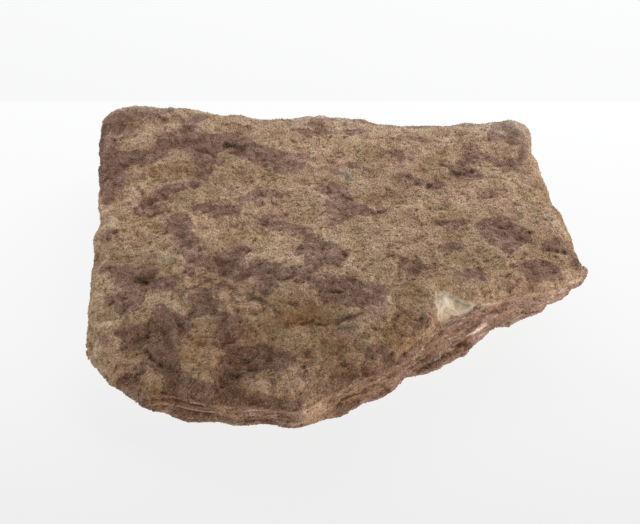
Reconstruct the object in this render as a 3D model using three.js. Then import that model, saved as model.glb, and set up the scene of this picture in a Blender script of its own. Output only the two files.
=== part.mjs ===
// A hand specimen of blotched, thin-bedded sandstone: one broken piece of flagstone that lies on its bedding plane.
// Millimetres, +Z up. The origin is the middle of the base. X runs along the long back edge and Y from front to back.
// The stone is one solid: a five-sided slab with a rough top bedding surface that falls away towards its front left
// corner, stepped beds round its sides, and an underside that touches the ground over most of its middle.
import * as THREE from "three";
import { ImprovedNoise } from "three/addons/math/ImprovedNoise.js";
import { mergeVertices } from "three/addons/utils/BufferGeometryUtils.js";

// Driving dimensions
const THICKNESS = 18; // height of the level part of the top
const FRONT_FALL = 9.5; // how far the top has fallen at the front left corner
const EDGE_ROUND = 3; // width of the worn edge round the top
const EDGE_DROP = 1.4; // how far that worn edge drops
const BASE_ROUND = 5; // width of the worn edge round the underside
const BASE_LIFT = 2; // how far the edge of the underside stands off the ground
const REST_REACH = 14; // the underside has no hollows within this distance of its middle

// The fall of the top: its direction in plan, where it starts along that direction, and the distance it takes
const FALL = { x: -0.6, y: -0.8, start: 2, span: 56, power: 1.5 };

// Cells of the surface grid along X, along Y and up the sides
const CELLS = { across: 43, deep: 37, high: 10 };
// How much closer the grid lines stand near the edges than in the middle, from 0 to 1
const EDGE_CROWDING = 0.45;
const RIM_SAMPLES = 720;

// The rim of the top in plan, clockwise from the back left corner
const RIM = [
  [-57.5, 49], [-54.3, 51], [-48, 52.3], [-44, 51.3], [-38, 52], [-35, 51.5], [-32, 49.2], [-27, 48],
  [-21, 48.2], [-18, 46.5], [-12, 46.5], [-6, 47.2], [-3, 48.2], [3, 47.7], [8, 46.7], [11.5, 45.2],
  [17, 44], [25, 43.5], [33, 43.7], [40, 44.2], [47, 45.2], [51, 45.9], [53.8, 44],
  [54.6, 39], [54.3, 32], [54.8, 24], [55.8, 16], [55.3, 12], [57.2, 8], [58, 2], [58, -4], [59, -9], [60.5, -12.8],
  [58.2, -16.4], [52.5, -17.9], [46.4, -19.3], [40.3, -21.2], [34.3, -23], [28.3, -26.5], [25.3, -29.1],
  [19.3, -35], [14.3, -39.3], [8.2, -42], [2, -45.5], [-3.5, -48.8], [-10.2, -47.7], [-20.5, -45.9],
  [-30.8, -42.8], [-38, -41], [-44.2, -39.2], [-48.8, -34.3],
  [-52.2, -28], [-53.5, -20], [-53.8, -11], [-54.4, -1.5], [-55, 7], [-56, 16], [-57.2, 26], [-58.8, 36], [-59.3, 43],
];
// The rim points where the four sides of the grid meet
const CORNERS = { backLeft: [-57.5, 49], backRight: [53.8, 44], frontRight: [60.5, -12.8], frontLeft: [-48.8, -34.3] };

// Lumps (rise above 0) and hollows (below 0) of the top: place, reach along and across, turn in degrees, rise
const TOP_RELIEF = [
  [-50, 46, 9, 4, 0, 1.5],
  [-37, 47, 5, 3, 0, 0.9],
  [0, 45, 7, 3, 0, 0.9],
  [50, 41, 5, 4, 0, 0.8],
  [-28, 33, 9, 4, -10, -1.5],
  [-53, 36, 3, 3, 0, -1.2],
  [-44, 40, 7, 3, 50, 0.8],
  [-37, 25, 7, 4, 20, 0.6],
  [-14, -21, 6, 3, -30, -0.9],
  [-2, -21, 8, 3.5, 5, 0.7],
  [0, -27, 9, 3.5, 8, -0.9],
  [-16, -38, 6, 4, 30, -1.2],
  [-36, -30, 4, 6, 0, -1.0],
  [-40, -14, 4, 3, 0, -0.6],
  [4, 10, 3, 6, 25, -0.5],
  [35, 22, 4, 3, 0, -0.7],
  [44, 0, 5, 5, 0, -0.6],
  [54, -6, 3, 5, 35, -0.8],
  [29, -23, 4.5, 3.5, 0, -1.6],
];

// How far the foot of the side lies in from the rim: a general lean, and more or less of it in places
const LEAN = 3;
const LEAN_CHANGES = [
  [59, -14, 12, 12, 0, 6],
  [48, -19, 9, 7, 0, 3.5],
  [31, -26, 8, 7, 30, -5.5],
  [15, -39, 8, 6, 0, -1.2],
  [-6, -48, 9, 8, 0, -0.8],
  [-27, -44, 12, 8, 0, -4.3],
];

// The beds up the side: share of the height, and how far the level stands in behind the lean line
const LEVELS = [
  [0, 2], [0.1, 0.6], [0.26, 0.3], [0.32, 1.5], [0.46, 1.3], [0.52, 0.2],
  [0.66, 0.3], [0.72, 1.3], [0.84, 1], [0.91, 0], [1, 0.6],
];
const TOP_LEVEL = LEVELS.length - 1;

const noiseField = new ImprovedNoise();

// Smooth noise between about -1 and 1 that changes over `period` millimetres
function roughness(x, y, z, period) {
  return noiseField.noise(x / period, y / period, z / period);
}

function easeIn(value, power) {
  return Math.pow(THREE.MathUtils.clamp(value, 0, 1), power);
}

// The sum of oval bumps at a plan point
function bumps(list, x, y) {
  let sum = 0;
  for (const [centreX, centreY, along, across, turn, rise] of list) {
    const angle = THREE.MathUtils.degToRad(turn);
    const dx = x - centreX;
    const dy = y - centreY;
    const a = (dx * Math.cos(angle) + dy * Math.sin(angle)) / along;
    const b = (dy * Math.cos(angle) - dx * Math.sin(angle)) / across;
    sum += rise * Math.exp(-(a * a + b * b));
  }
  return sum;
}

// The rim as evenly spaced plan points
const rimCurve = new THREE.CatmullRomCurve3(RIM.map(([x, y]) => new THREE.Vector3(x, y, 0)), true, "centripetal");
const rim = rimCurve.getSpacedPoints(RIM_SAMPLES).slice(0, RIM_SAMPLES);

function nearestRimSample([x, y]) {
  const place = new THREE.Vector3(x, y, 0);
  const gaps = rim.map((point) => point.distanceTo(place));
  return gaps.indexOf(Math.min(...gaps));
}

// A side of the grid: rim samples from one corner to the next, clockwise, as a function of 0 to 1
function rimSide(from, to) {
  const start = nearestRimSample(from);
  const steps = (nearestRimSample(to) - start + RIM_SAMPLES) % RIM_SAMPLES;
  return (share) => {
    const place = start + share * steps;
    const low = Math.floor(place);
    return rim[low % RIM_SAMPLES].clone().lerp(rim[(low + 1) % RIM_SAMPLES], place - low);
  };
}

const side = {
  back: rimSide(CORNERS.backLeft, CORNERS.backRight),
  right: rimSide(CORNERS.backRight, CORNERS.frontRight),
  front: rimSide(CORNERS.frontRight, CORNERS.frontLeft),
  left: rimSide(CORNERS.frontLeft, CORNERS.backLeft),
};

// How far a rim point moves in towards the middle at a level; each bed wanders in and out on its own
function insetAt(point, level) {
  const [height, step] = LEVELS[level];
  const bed = Math.floor(level / 2);
  const lean = LEAN + bumps(LEAN_CHANGES, point.x, point.y);
  const wide = roughness(point.x, point.y, 40 * bed + 9, 13);
  const narrow = roughness(point.x, point.y, 40 * bed, 5);
  const share = level === TOP_LEVEL ? 0.25 : 1;
  const boldness = 1 + 1.2 * roughness(point.x, point.y, 30 * bed + 500, 24);
  return lean * (1 - height) + step * boldness + share * (1.2 * wide + 0.6 * narrow);
}

function movedIn(point, level) {
  return point.clone().multiplyScalar(1 - insetAt(point, level) / point.length());
}

// A point of the slab's plan at a level, from two shares of the grid: a patch blended from the four sides (Coons)
function planPoint(u, v, level) {
  const front = (share) => movedIn(side.front(1 - share), level);
  const back = (share) => movedIn(side.back(share), level);
  const left = movedIn(side.left(v), level);
  const right = movedIn(side.right(1 - v), level);
  const point = front(u).multiplyScalar(1 - v);
  point.addScaledVector(back(u), v);
  point.addScaledVector(left, 1 - u);
  point.addScaledVector(right, u);
  point.addScaledVector(front(0), -(1 - u) * (1 - v));
  point.addScaledVector(front(1), -u * (1 - v));
  point.addScaledVector(back(0), -(1 - u) * v);
  point.addScaledVector(back(1), -u * v);
  return point;
}

const topEdge = rim.map((point) => movedIn(point, TOP_LEVEL));
const baseEdge = rim.map((point) => movedIn(point, 0));

// 1 at the edge, falling to 0 at the given distance from it
function nearEdge(x, y, edge, reach) {
  const distance = Math.min(...edge.map((point) => Math.hypot(point.x - x, point.y - y)));
  return easeIn(1 - distance / reach, 2);
}

// Height of the top surface
function topHeight(x, y) {
  const along = FALL.x * x + FALL.y * y;
  const fall = FRONT_FALL * easeIn((along - FALL.start) / FALL.span, FALL.power);
  const wear = EDGE_DROP * nearEdge(x, y, topEdge, EDGE_ROUND);
  const grain = 0.7 * roughness(x, y, 3, 14) + 0.5 * roughness(x, y, 50, 6.5);
  return THICKNESS - fall - wear + bumps(TOP_RELIEF, x, y) + grain;
}

// Height of the underside: flat on the ground, with shallow hollows and a lifted edge
function baseHeight(x, y) {
  const lift = BASE_LIFT * nearEdge(x, y, baseEdge, BASE_ROUND);
  const hollow = 2.2 * roughness(x, y, 200, 17) + 0.8 * roughness(x, y, 260, 7) - 0.3;
  const away = easeIn(Math.hypot(x, y) / REST_REACH - 1, 1);
  return Math.max(0, lift + hollow * away);
}

// Grid shares crowd towards 0 and 1, so that the worn edges get narrower cells
function crowded(share) {
  return share - (EDGE_CROWDING * Math.sin(2 * Math.PI * share)) / (2 * Math.PI);
}

function slabGeometry() {
  const box = new THREE.BoxGeometry(1, 1, 1, CELLS.across, CELLS.deep, CELLS.high);
  box.deleteAttribute("normal");
  box.deleteAttribute("uv");
  const slab = mergeVertices(box);
  const place = slab.getAttribute("position");
  for (let i = 0; i < place.count; i++) {
    const u = crowded(place.getX(i) + 0.5);
    const v = crowded(place.getY(i) + 0.5);
    const level = Math.round((place.getZ(i) + 0.5) * CELLS.high);
    const { x, y } = planPoint(u, v, level);
    const top = planPoint(u, v, TOP_LEVEL);
    const base = planPoint(u, v, 0);
    const low = baseHeight(base.x, base.y);
    const high = topHeight(top.x, top.y);
    const between = level > 0 && level < TOP_LEVEL;
    const wobble = between ? 0.4 * roughness(x, y, 20 * level, 11) : 0;
    place.setXYZ(i, x, y, low + LEVELS[level][0] * (high - low) + wobble);
  }
  slab.computeBoundingBox();
  const middle = slab.boundingBox.getCenter(new THREE.Vector3());
  slab.translate(-middle.x, -middle.y, 0);
  return slab;
}

const stone = new THREE.Mesh(
  slabGeometry(),
  new THREE.MeshStandardMaterial({ color: 0x8f7a5c, roughness: 0.95, metalness: 0 }),
);
stone.name = "sandstone";

const specimen = new THREE.Group();
specimen.add(stone);

export default specimen;
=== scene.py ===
"""A hand specimen of blotched sandstone on a glowing white table.

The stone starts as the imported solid's form. Worn lumps, hollows, flakes and a chip are cut into its top, thin
beds into its broken sides, and loose-looking grains of sand lie all over it. Its blotches are strokes, written
down in the lists below and painted on the mesh as masks, which the materials read. Lengths here are in
millimetres, and meshes are in metres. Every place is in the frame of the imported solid.
"""

import itertools
import math

import bmesh
import bpy
import numpy as np
from mathutils import Matrix, Vector
from mathutils.kdtree import KDTree


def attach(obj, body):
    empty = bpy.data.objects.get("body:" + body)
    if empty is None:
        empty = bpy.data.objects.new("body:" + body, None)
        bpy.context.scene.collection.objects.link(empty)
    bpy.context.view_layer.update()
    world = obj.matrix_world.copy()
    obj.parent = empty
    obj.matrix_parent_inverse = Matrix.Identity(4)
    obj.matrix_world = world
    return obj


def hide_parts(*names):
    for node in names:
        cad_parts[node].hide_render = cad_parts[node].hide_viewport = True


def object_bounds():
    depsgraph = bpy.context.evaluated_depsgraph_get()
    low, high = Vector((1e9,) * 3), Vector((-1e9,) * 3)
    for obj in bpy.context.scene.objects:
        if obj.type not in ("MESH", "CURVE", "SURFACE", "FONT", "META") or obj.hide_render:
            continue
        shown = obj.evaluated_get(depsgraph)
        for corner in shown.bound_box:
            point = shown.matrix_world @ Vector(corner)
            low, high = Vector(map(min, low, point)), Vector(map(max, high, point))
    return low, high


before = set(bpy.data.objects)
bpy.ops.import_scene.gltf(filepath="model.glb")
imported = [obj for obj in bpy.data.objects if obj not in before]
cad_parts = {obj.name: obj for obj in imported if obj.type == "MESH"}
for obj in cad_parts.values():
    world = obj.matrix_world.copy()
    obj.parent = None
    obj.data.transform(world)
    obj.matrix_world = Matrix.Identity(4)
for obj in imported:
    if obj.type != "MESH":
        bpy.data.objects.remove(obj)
cad_low, cad_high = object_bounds()

MM = 0.001
STONE_NODE = "sandstone"
TOP_OF_STONE = cad_high[2] / MM

# ---------------------------------------------------------------- marks on the bedding surface, in plan, some of them painted shade and light
# A stroke is a run of (x, y, half width), or of (x, y, z, half width) on the broken sides, and a strength.

BLOTCHES = [
    # left end and the long arc
    ([(-57, 41.5, 1.9), (-54, 43, 2.6), (-50, 44.5, 1.9), (-46, 44, 1.5), (-43.5, 45, 1.5),
      (-40.5, 46.5, 1.1), (-37, 47.5, 1.1)], 0.8),
    ([(-46, 42.5, 1.1), (-43, 41, 1.5), (-42, 42, 1.1)], 0.8),
    ([(-17.5, -48, 1.5), (-15, -47.5, 1.7), (-12, -48.5, 1.7), (-8.5, -49, 1.5)], 0.7),
    ([(-57, 39.5, 2.3), (-56, 32.5, 2.6), (-55, 26.5, 3.4), (-53.5, 21, 3.4), (-52.5, 16.5, 3),
      (-53, 13, 1.9)], 0.9),
    ([(-55, 38.5, 2.3), (-51.5, 39, 1.9)], 0.8),
    ([(-52, 26, 3), (-48, 26.5, 2.6), (-44, 25.5, 2.3), (-42, 30, 2.6), (-40.5, 33.5, 3),
      (-38, 34.5, 2.6)], 1),
    ([(-38, 35.5, 2.3), (-35.5, 39.5, 2.3), (-34, 42, 1.5), (-31.5, 44, 1.1)], 0.65),
    ([(-41, 31.5, 3), (-37.5, 34, 3), (-33.5, 34, 3), (-29.5, 33, 3.4), (-25.5, 34, 3.4), (-21.5, 32, 3)], 1),
    ([(-34.5, 31, 1.9), (-30.5, 27, 2.3), (-27.5, 26, 2.3)], 0.9),
    ([(-21.5, 32.5, 3), (-19, 29, 3), (-15.5, 27, 3.4), (-12.5, 26, 3), (-9, 24.5, 3), (-6, 25.5, 2.3)], 1),
    ([(-11, 22, 1.9), (-8.5, 21.5, 1.9), (-6, 23, 1.5)], 0.8),
    ([(-54.5, 17, 1.5), (-52.5, 15, 1.9), (-50.5, 15, 1.1)], 0.85),
    # the bands that hang below it
    ([(-44.5, 8.5, 1.1), (-43.5, 10, 1.5), (-42, 11.5, 1.5), (-40.5, 13, 1.5), (-38.5, 14, 1.3),
      (-36, 14.5, 1.5), (-33, 15.5, 1.1)], 0.9),
    ([(-31.5, 25, 2.3), (-30, 21, 1.9), (-30.5, 18, 1.9), (-32, 15.5, 1.5)], 0.85),
    ([(-45.5, 8, 1.1), (-43.5, 7, 1.5), (-41, 7.5, 1.9), (-39.5, 8, 1.5)], 0.75),
    ([(-40, 11, 1.1), (-39, 12, 1.1)], 0.7),
    ([(-32.5, 7.5, 0.9), (-30, 8, 1.3), (-28, 7.5, 1.7), (-26, 6.5, 1.9), (-24, 6.5, 1.9), (-22, 6, 1.9),
      (-21.5, 4, 1.1)], 0.88),
    ([(-29, 10, 0.6), (-27.5, 10, 0.6)], 0.6),
    ([(-20.5, 10, 1.1), (-18.5, 10.5, 1.5), (-16, 12, 1.7), (-14, 12, 1.5), (-12, 12.5, 1.3),
      (-11, 11.5, 0.9)], 0.72),
    ([(-37, 2, 1.5), (-35.5, 3.5, 1.9), (-34, 4, 1.5), (-36, 1, 1.9), (-34.5, 1.5, 1.9),
      (-33, 2.5, 1.5)], 0.92),
    ([(-34, -0.5, 1.1), (-33, -2, 2.3), (-32, -4, 2.6), (-33.5, -5.5, 1.5), (-31, -7, 2.3)], 0.92),
    ([(-31, -8, 1.9), (-29.5, -8.5, 1.9), (-28.5, -9.5, 1.9), (-27.5, -10, 1.1)], 0.92),
    ([(-31.5, -11.5, 1.1), (-30.5, -13, 1.1)], 0.6),
    ([(-53, 0.5, 1.1), (-52, -0.5, 1.5), (-51.5, 1, 1.1)], 0.7),
    ([(-50, 1.5, 0.8), (-49, -1.5, 0.8)], 0.5),
    ([(-47, -3.5, 0.8), (-45, -4, 0.8), (-44, -5, 0.8)], 0.5),
    ([(-40.5, -8, 1.1), (-39.5, -7.5, 0.8)], 0.5),
    ([(-51, -9.5, 1.5), (-49.5, -10.5, 1.5), (-48, -10.5, 1.1), (-46, -10, 1.1)], 0.62),
    ([(-42.5, -11.5, 1.9), (-40, -11.5, 1.5)], 0.55),
    # the chain across the middle
    ([(-16, 1.5, 0.8), (-14, 1.5, 1.7), (-12, 0.5, 1.7), (-10, 0.5, 1.9), (-8, 0, 1.7), (-5.5, -1, 1.1),
      (-3.5, -2, 0.9)], 0.9),
    ([(-15, 3.5, 0.5), (-13, 4, 0.6), (-11, 3.5, 0.6), (-9, 4.5, 0.5)], 0.65),
    ([(-3.5, -3.5, 0.9), (-3, -6, 1.9), (-5, -8.5, 1.5), (-1.5, -8.5, 3), (1, -9.5, 3.4), (2.5, -10.5, 2.3),
      (-2, -11.5, 2.6)], 0.95),
    ([(4.5, -9.5, 1.1), (3, -12.5, 1.5)], 0.6),
    ([(3.5, -14, 1.1)], 0.75),
    ([(-22, -7.5, 1.5), (-20, -8, 1.9), (-18.5, -7, 1.1)], 0.9),
    ([(-24.5, -9, 1.5), (-23, -10, 1.9), (-21.5, -10.5, 2.3), (-20, -11, 1.9)], 0.9),
    ([(-26, -11, 1.5), (-23.5, -12, 2.3), (-21, -13, 2.3), (-19, -14, 2.3), (-17.5, -14.5, 1.5)], 0.9),
    ([(-16, -11.5, 1.5), (-14, -13.5, 2.3), (-12.5, -13.5, 1.9), (-10.5, -14, 1.5), (-14, -16, 2.3),
      (-12.5, -17, 1.9)], 0.9),
    ([(-14, -18.5, 1.9), (-12, -18.5, 1.5), (-13, -20, 1.5)], 0.85),
    ([(-9.5, -16.5, 1.5), (-7.5, -15, 1.9), (-6, -15.5, 1.5), (-4.5, -15.5, 1.9), (-3, -14, 1.5),
      (-3.5, -12.5, 1.1)], 0.78),
    ([(-2.5, -17.5, 1.5), (-1.5, -19, 1.9), (0, -21, 1.9), (-0.5, -19.5, 1.5)], 0.9),
    ([(1, -19, 1.5), (2, -19, 1.9), (3.5, -19.5, 2.3), (5.5, -20, 2.3), (7, -21.5, 2.6), (9, -22, 2.3),
      (11.5, -21.5, 2.3), (13, -21.5, 1.5)], 0.98),
    ([(-0.5, -23, 1.1), (1.5, -23.5, 1.3), (3, -23.5, 1.5), (5.5, -23.5, 1.9), (8, -24, 2.3),
      (10.5, -24.5, 1.9), (12.5, -24, 1.1)], 0.85),
    ([(-1, 13.5, 1.5), (1, 14.5, 1.9), (3, 13.5, 2.3), (4, 10.5, 2.6), (3, 6, 2.6), (5, 6.5, 1.9)], 0.97),
    ([(4, 3.5, 1.9), (3, 1, 1.1), (1.5, -1, 0.9)], 0.8),
    ([(5, 8, 2.6), (7, 6, 2.3), (9, 6, 1.7), (11.5, 5, 1.3)], 0.85),
    ([(13, 5.5, 0.6), (14.5, 6, 0.6)], 0.75),
    # along the back edge
    ([(-6, 37.5, 0.9), (-4, 36.5, 1.3), (-2, 37.5, 0.8)], 0.8),
    ([(-3, 41.5, 1.1), (-0.5, 41.5, 1.1), (2.5, 43, 0.8)], 0.55),
    ([(-1.5, 39.5, 0.9), (0.5, 38.5, 1.1), (1, 37.5, 0.8)], 0.5),
    ([(3.5, 37, 0.9), (5.5, 37.5, 1.3), (8.5, 37, 1.5), (11, 37.5, 1.1)], 0.78),
    ([(22, 36, 0.6), (23, 34.5, 0.8), (24.5, 34, 0.9), (26, 33.5, 0.6)], 0.75),
    ([(17.5, 28.5, 1.1), (19, 28, 1.3), (19.5, 25, 1.1)], 0.72),
    ([(20.5, 25.5, 1.1), (22.5, 24.5, 0.9)], 0.45),
    # the right side
    ([(2.5, 20.5, 0.9), (4.5, 19, 1.1)], 0.55),
    ([(5.5, 23, 0.8), (7, 24, 1.1), (9.5, 22.5, 0.9), (11.5, 21.5, 0.8)], 0.75),
    ([(18.5, 18.5, 1.1), (20.5, 19, 1.5), (21, 20.5, 0.8)], 0.55),
    ([(22, 18, 1.1), (24, 17, 1.3), (25, 16, 1.5), (27, 14.5, 1.5), (29, 16, 1.1), (28, 18, 0.8)], 0.75),
    ([(30, 24, 0.8), (32, 23.5, 0.8)], 0.55),
    ([(35, 24.5, 1.5), (35.5, 23, 1.5), (33.5, 21.5, 1.9), (36, 20.5, 2.3), (38, 19, 1.9),
      (32.5, 21.5, 1.1)], 1),
    ([(35, 33, 0.8), (36.5, 31.5, 0.9), (37.5, 30, 1.1)], 0.6),
    ([(37, 27.5, 1.3), (38.5, 27.5, 1.5), (41, 26.5, 1.5), (43, 25.5, 1.3), (44, 24, 1.3), (46.5, 24, 1.5),
      (48.5, 24.5, 1.5), (50, 25.5, 0.8)], 0.88),
    ([(45.5, 21, 1.1), (48, 22.5, 1.3), (49, 20.5, 1.1), (50, 19.5, 0.8)], 0.6),
    ([(36.5, 25.5, 1.1), (38.5, 24, 1.1)], 0.6),
    ([(44, 36, 1.5), (45, 38, 1.5), (47, 39.5, 1.5), (49, 38.5, 1.5), (50, 37, 1.5), (51.5, 36, 1.1)], 0.9),
    ([(43.5, 34.5, 1.1), (45, 34.5, 1.1), (47, 34.5, 1.3), (49.5, 33, 1.5), (51.5, 33, 1.5),
      (51.5, 30.5, 1.1), (51, 28, 1.1), (51, 26, 0.9)], 0.88),
    ([(52, 14.5, 1.1), (53.5, 14.5, 1.1)], 0.6),
    ([(41, 13, 1.3), (41.5, 11, 0.9), (40.5, 10.5, 0.6)], 0.6),
    ([(27, 2, 0.8), (29, 1.5, 0.9), (30.5, 0.5, 1.5), (32.5, 1.5, 1.1), (33.5, 1, 0.6)], 0.87),
    ([(28, -9, 1.1), (29, -7.5, 1.5), (30.5, -7, 1.3), (31, -8, 0.9)], 0.82),
    ([(17, -10.5, 0.6), (18, -11.5, 0.8)], 0.6),
    ([(18, -14, 1.5), (19.5, -13.5, 1.7), (21.5, -14.5, 1.1), (19, -15.5, 1.3)], 0.82),
    ([(22.5, -15, 0.6), (24.5, -14, 0.9)], 0.5),
    ([(12, -15, 0.8), (14.5, -15.5, 0.8)], 0.4),
    ([(15, -7, 0.8), (14.5, -9, 0.8)], 0.4),
    ([(36.5, -0.5, 1.1), (38, 1, 1.5), (40, 1.5, 1.5), (42, 0.5, 1.5), (44, 1.5, 1.3), (42, 2.5, 1.1)], 0.92),
    ([(38, -2.5, 1.3), (40.5, -2, 1.5), (42.5, -2, 2.3), (45, -2, 2.6), (46.5, -2, 1.9)], 1),
    ([(41.5, -6.5, 1.9), (44, -5.5, 2.3), (46, -4, 1.9), (42.5, -8, 1.5)], 0.95),
    ([(39, -6, 0.9), (38.5, -3.5, 0.8)], 0.7),
    ([(47, -4.5, 1.1), (48.5, -5.5, 0.6), (50.5, -5.5, 0.6)], 0.75),
    ([(51, -6.5, 0.8), (52.5, -6, 1.5), (54.5, -5.5, 1.5), (55, -7, 1.5), (54, -7.5, 1.1)], 0.95),
    ([(56, -8, 1.3), (57.5, -8.5, 1.1), (57.5, -11, 1.1), (57.5, -14, 0.8)], 0.85),
    ([(45.5, -14.5, 1.5), (47.5, -14, 1.9), (49.5, -13.5, 2.1), (51, -14.5, 1.9), (51.5, -17, 1.5),
      (49.5, -16.5, 1.5), (47, -16.5, 1.9)], 0.97),
    ([(47.5, -18.5, 0.8), (48.5, -19, 0.6)], 0.7),
    ([(53, -18.5, 1.1), (52, -17.5, 0.8)], 0.55),
    ([(32.5, -15.5, 1.1), (33.5, -17, 1.3), (35.5, -18, 1.1), (35, -15, 0.8)], 0.66),
    ([(30, -16.5, 1.1), (32, -17.5, 1.1)], 0.5),
    ([(39, -21, 0.6), (41, -20.5, 0.6), (42.5, -19.5, 0.4)], 0.6),
    ([(16, -28, 1.1), (17.5, -27.5, 0.8)], 0.45),
    ([(20, -31.5, 1.1), (21.5, -30, 1.1), (21, -29, 0.8)], 0.6),
    ([(17, -34, 0.6), (19, -33.5, 0.6)], 0.5),
    ([(13, -29.5, 0.8), (11.5, -28, 0.8)], 0.4),
    ([(16.5, -38.5, 1.1), (17, -38, 0.8)], 0.75),
    ([(9.5, -38.5, 1.5), (11.5, -38, 1.9), (12.5, -39.5, 2.3), (10.5, -41, 2.3), (9.5, -42, 1.9),
      (11.5, -42, 1.9), (13.5, -40, 1.1)], 0.8),
    ([(3.5, -41, 0.8), (5.5, -41.5, 0.8)], 0.7),
    # the part that falls towards the front left corner
    ([(-47, -12, 1.5), (-45, -12.5, 1.9), (-42.5, -14, 1.9), (-47, -14.5, 1.5)], 0.6),
    ([(-39.5, -15, 1.5), (-37, -15.5, 1.9), (-34.5, -15, 1.5), (-35.5, -16.5, 1.1)], 0.87),
    ([(-39.5, -16.5, 0.6), (-37.5, -17.5, 0.8)], 0.5),
    ([(-32.5, -18.5, 0.8), (-31.5, -18, 0.8)], 0.6),
    ([(-45, -16, 1.5), (-43, -16.5, 1.5), (-45, -18.5, 1.9), (-43, -19.5, 2.3), (-45, -21, 2.3),
      (-42.5, -21.5, 0.8)], 0.78),
    ([(-49, -18.5, 1.1), (-48, -19.5, 1.1)], 0.6),
    ([(-28, -18.5, 0.9), (-26, -19, 1.3), (-24.5, -18.5, 1.1), (-23, -17, 1.1)], 0.82),
    ([(-29.5, -20.5, 1.5), (-28.5, -21.5, 1.9), (-26.5, -22.5, 2.3), (-28.5, -23.5, 1.9),
      (-25, -22.5, 1.5)], 0.87),
    ([(-24.5, -25, 1.1), (-23, -26, 1.1)], 0.65),
    ([(-37, -23, 1.5), (-35.5, -24.5, 1.9), (-36.5, -26, 1.9), (-33.5, -26, 1.9), (-37.5, -24.5, 1.1),
      (-38.5, -26.5, 1.5)], 0.87),
    ([(-32.5, -26, 1.5), (-31, -27.5, 1.9), (-33, -28.5, 1.5), (-30.5, -25.5, 1.1)], 0.75),
    ([(-45.5, -27.5, 1.1), (-43.5, -28, 1.5), (-41, -28, 1.5), (-39.5, -28.5, 1.5)], 0.82),
    ([(-44.5, -27, 1.1), (-41, -27, 1.5)], 0.6),
    ([(-36, -29, 1.9), (-35, -28.5, 1.1), (-37, -30.5, 2.3), (-34.5, -30.5, 1.9), (-32.5, -30, 1.5)], 0.9),
    ([(-49.5, -29, 1.1), (-48.5, -29.5, 1.1), (-49, -28, 0.8)], 0.45),
    ([(-44, -30.5, 1.1), (-42.5, -30.5, 1.5), (-42.5, -32, 1.1)], 0.78),
    ([(-38.5, -29.5, 1.5), (-37, -31.5, 1.9), (-36, -33, 2.3), (-37, -34, 2.3), (-35.5, -31, 1.5)], 0.87),
    ([(-38, -35.5, 1.5), (-36, -36, 2.3), (-34.5, -35.5, 2.3), (-33, -37.5, 1.9), (-35.5, -37.5, 1.5),
      (-33, -35, 1.5)], 0.97),
    ([(-40, -36.5, 1.1), (-39.5, -38, 1.1), (-40.5, -37, 0.8)], 0.87),
    ([(-43.5, -39, 1.1), (-42, -39, 1.1), (-40.5, -39, 1.1)], 0.9),
    ([(-43.5, -40, 1.1), (-41.5, -40, 1.5)], 0.8),
    ([(-32.5, -39.5, 1.9), (-31, -41, 2.3), (-32.5, -42.5, 1.9), (-30.5, -43.5, 2.3), (-28.5, -43.5, 2.3),
      (-26, -43.5, 1.5)], 0.8),
    ([(-33, -43.5, 1.9), (-30.5, -44, 2.3), (-28, -45, 2.6), (-25, -45.5, 2.3), (-23, -45, 1.9),
      (-26.5, -45, 1.9)], 0.87),
    ([(-22.5, -26.5, 1.9), (-20.5, -28, 2.3), (-21.5, -30, 2.6), (-22, -32, 2.3), (-19.5, -30, 1.9),
      (-18.5, -30.5, 1.1)], 0.87),
    ([(-13, -34, 1.1), (-14.5, -35.5, 1.5), (-11, -35, 1.1)], 0.6),
    # the dark patch above the front edge
    ([(-22, -39.5, 1.5), (-20.5, -39, 2.3), (-19, -37.5, 3), (-17, -37, 3), (-14.5, -37.5, 3),
      (-13.5, -37, 2.3)], 1),
    ([(-21, -41.5, 1.9), (-19, -40.5, 3), (-17, -39.5, 3), (-15.5, -39, 2.3)], 1),
    ([(-22.5, -43.5, 1.5), (-21, -43, 1.9), (-19.5, -43, 1.5)], 0.9),
    ([(-13, -38, 2.3), (-11, -38, 2.3), (-9.5, -37.5, 1.9), (-7.5, -38, 1.5), (-9.5, -40, 1.5)], 0.82),
    ([(-15, -36, 1.1), (-13.5, -36, 1.1), (-10.5, -36.5, 0.8), (-8.5, -37, 0.9)], 0.8),
    ([(-21.5, -45.5, 1.5), (-19.5, -46, 1.5), (-17.5, -45.5, 1.1)], 0.65),
    ([(-11.5, -48, 1.1), (-9.5, -48.5, 1.3), (-7, -49.5, 1.5), (-5, -49, 1.1)], 0.75),
    ([(-14.5, -47.5, 0.8), (-12, -48, 0.8)], 0.85),
    ([(-8, -46.5, 0.7)], 0.65),
    ([(-4.5, -46.5, 0.6), (-3.5, -46.5, 0.6)], 0.5),
    ([(-9.5, -43, 0.8)], 0.6),
    ([(-4.5, -40.5, 1.1), (-5.5, -42.5, 0.8), (-2.5, -43, 0.8)], 0.45),
    ([(1, -46, 1.5), (2, -45, 1.9), (4, -44, 1.5), (6, -43, 0.8)], 0.75),
]
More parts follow.
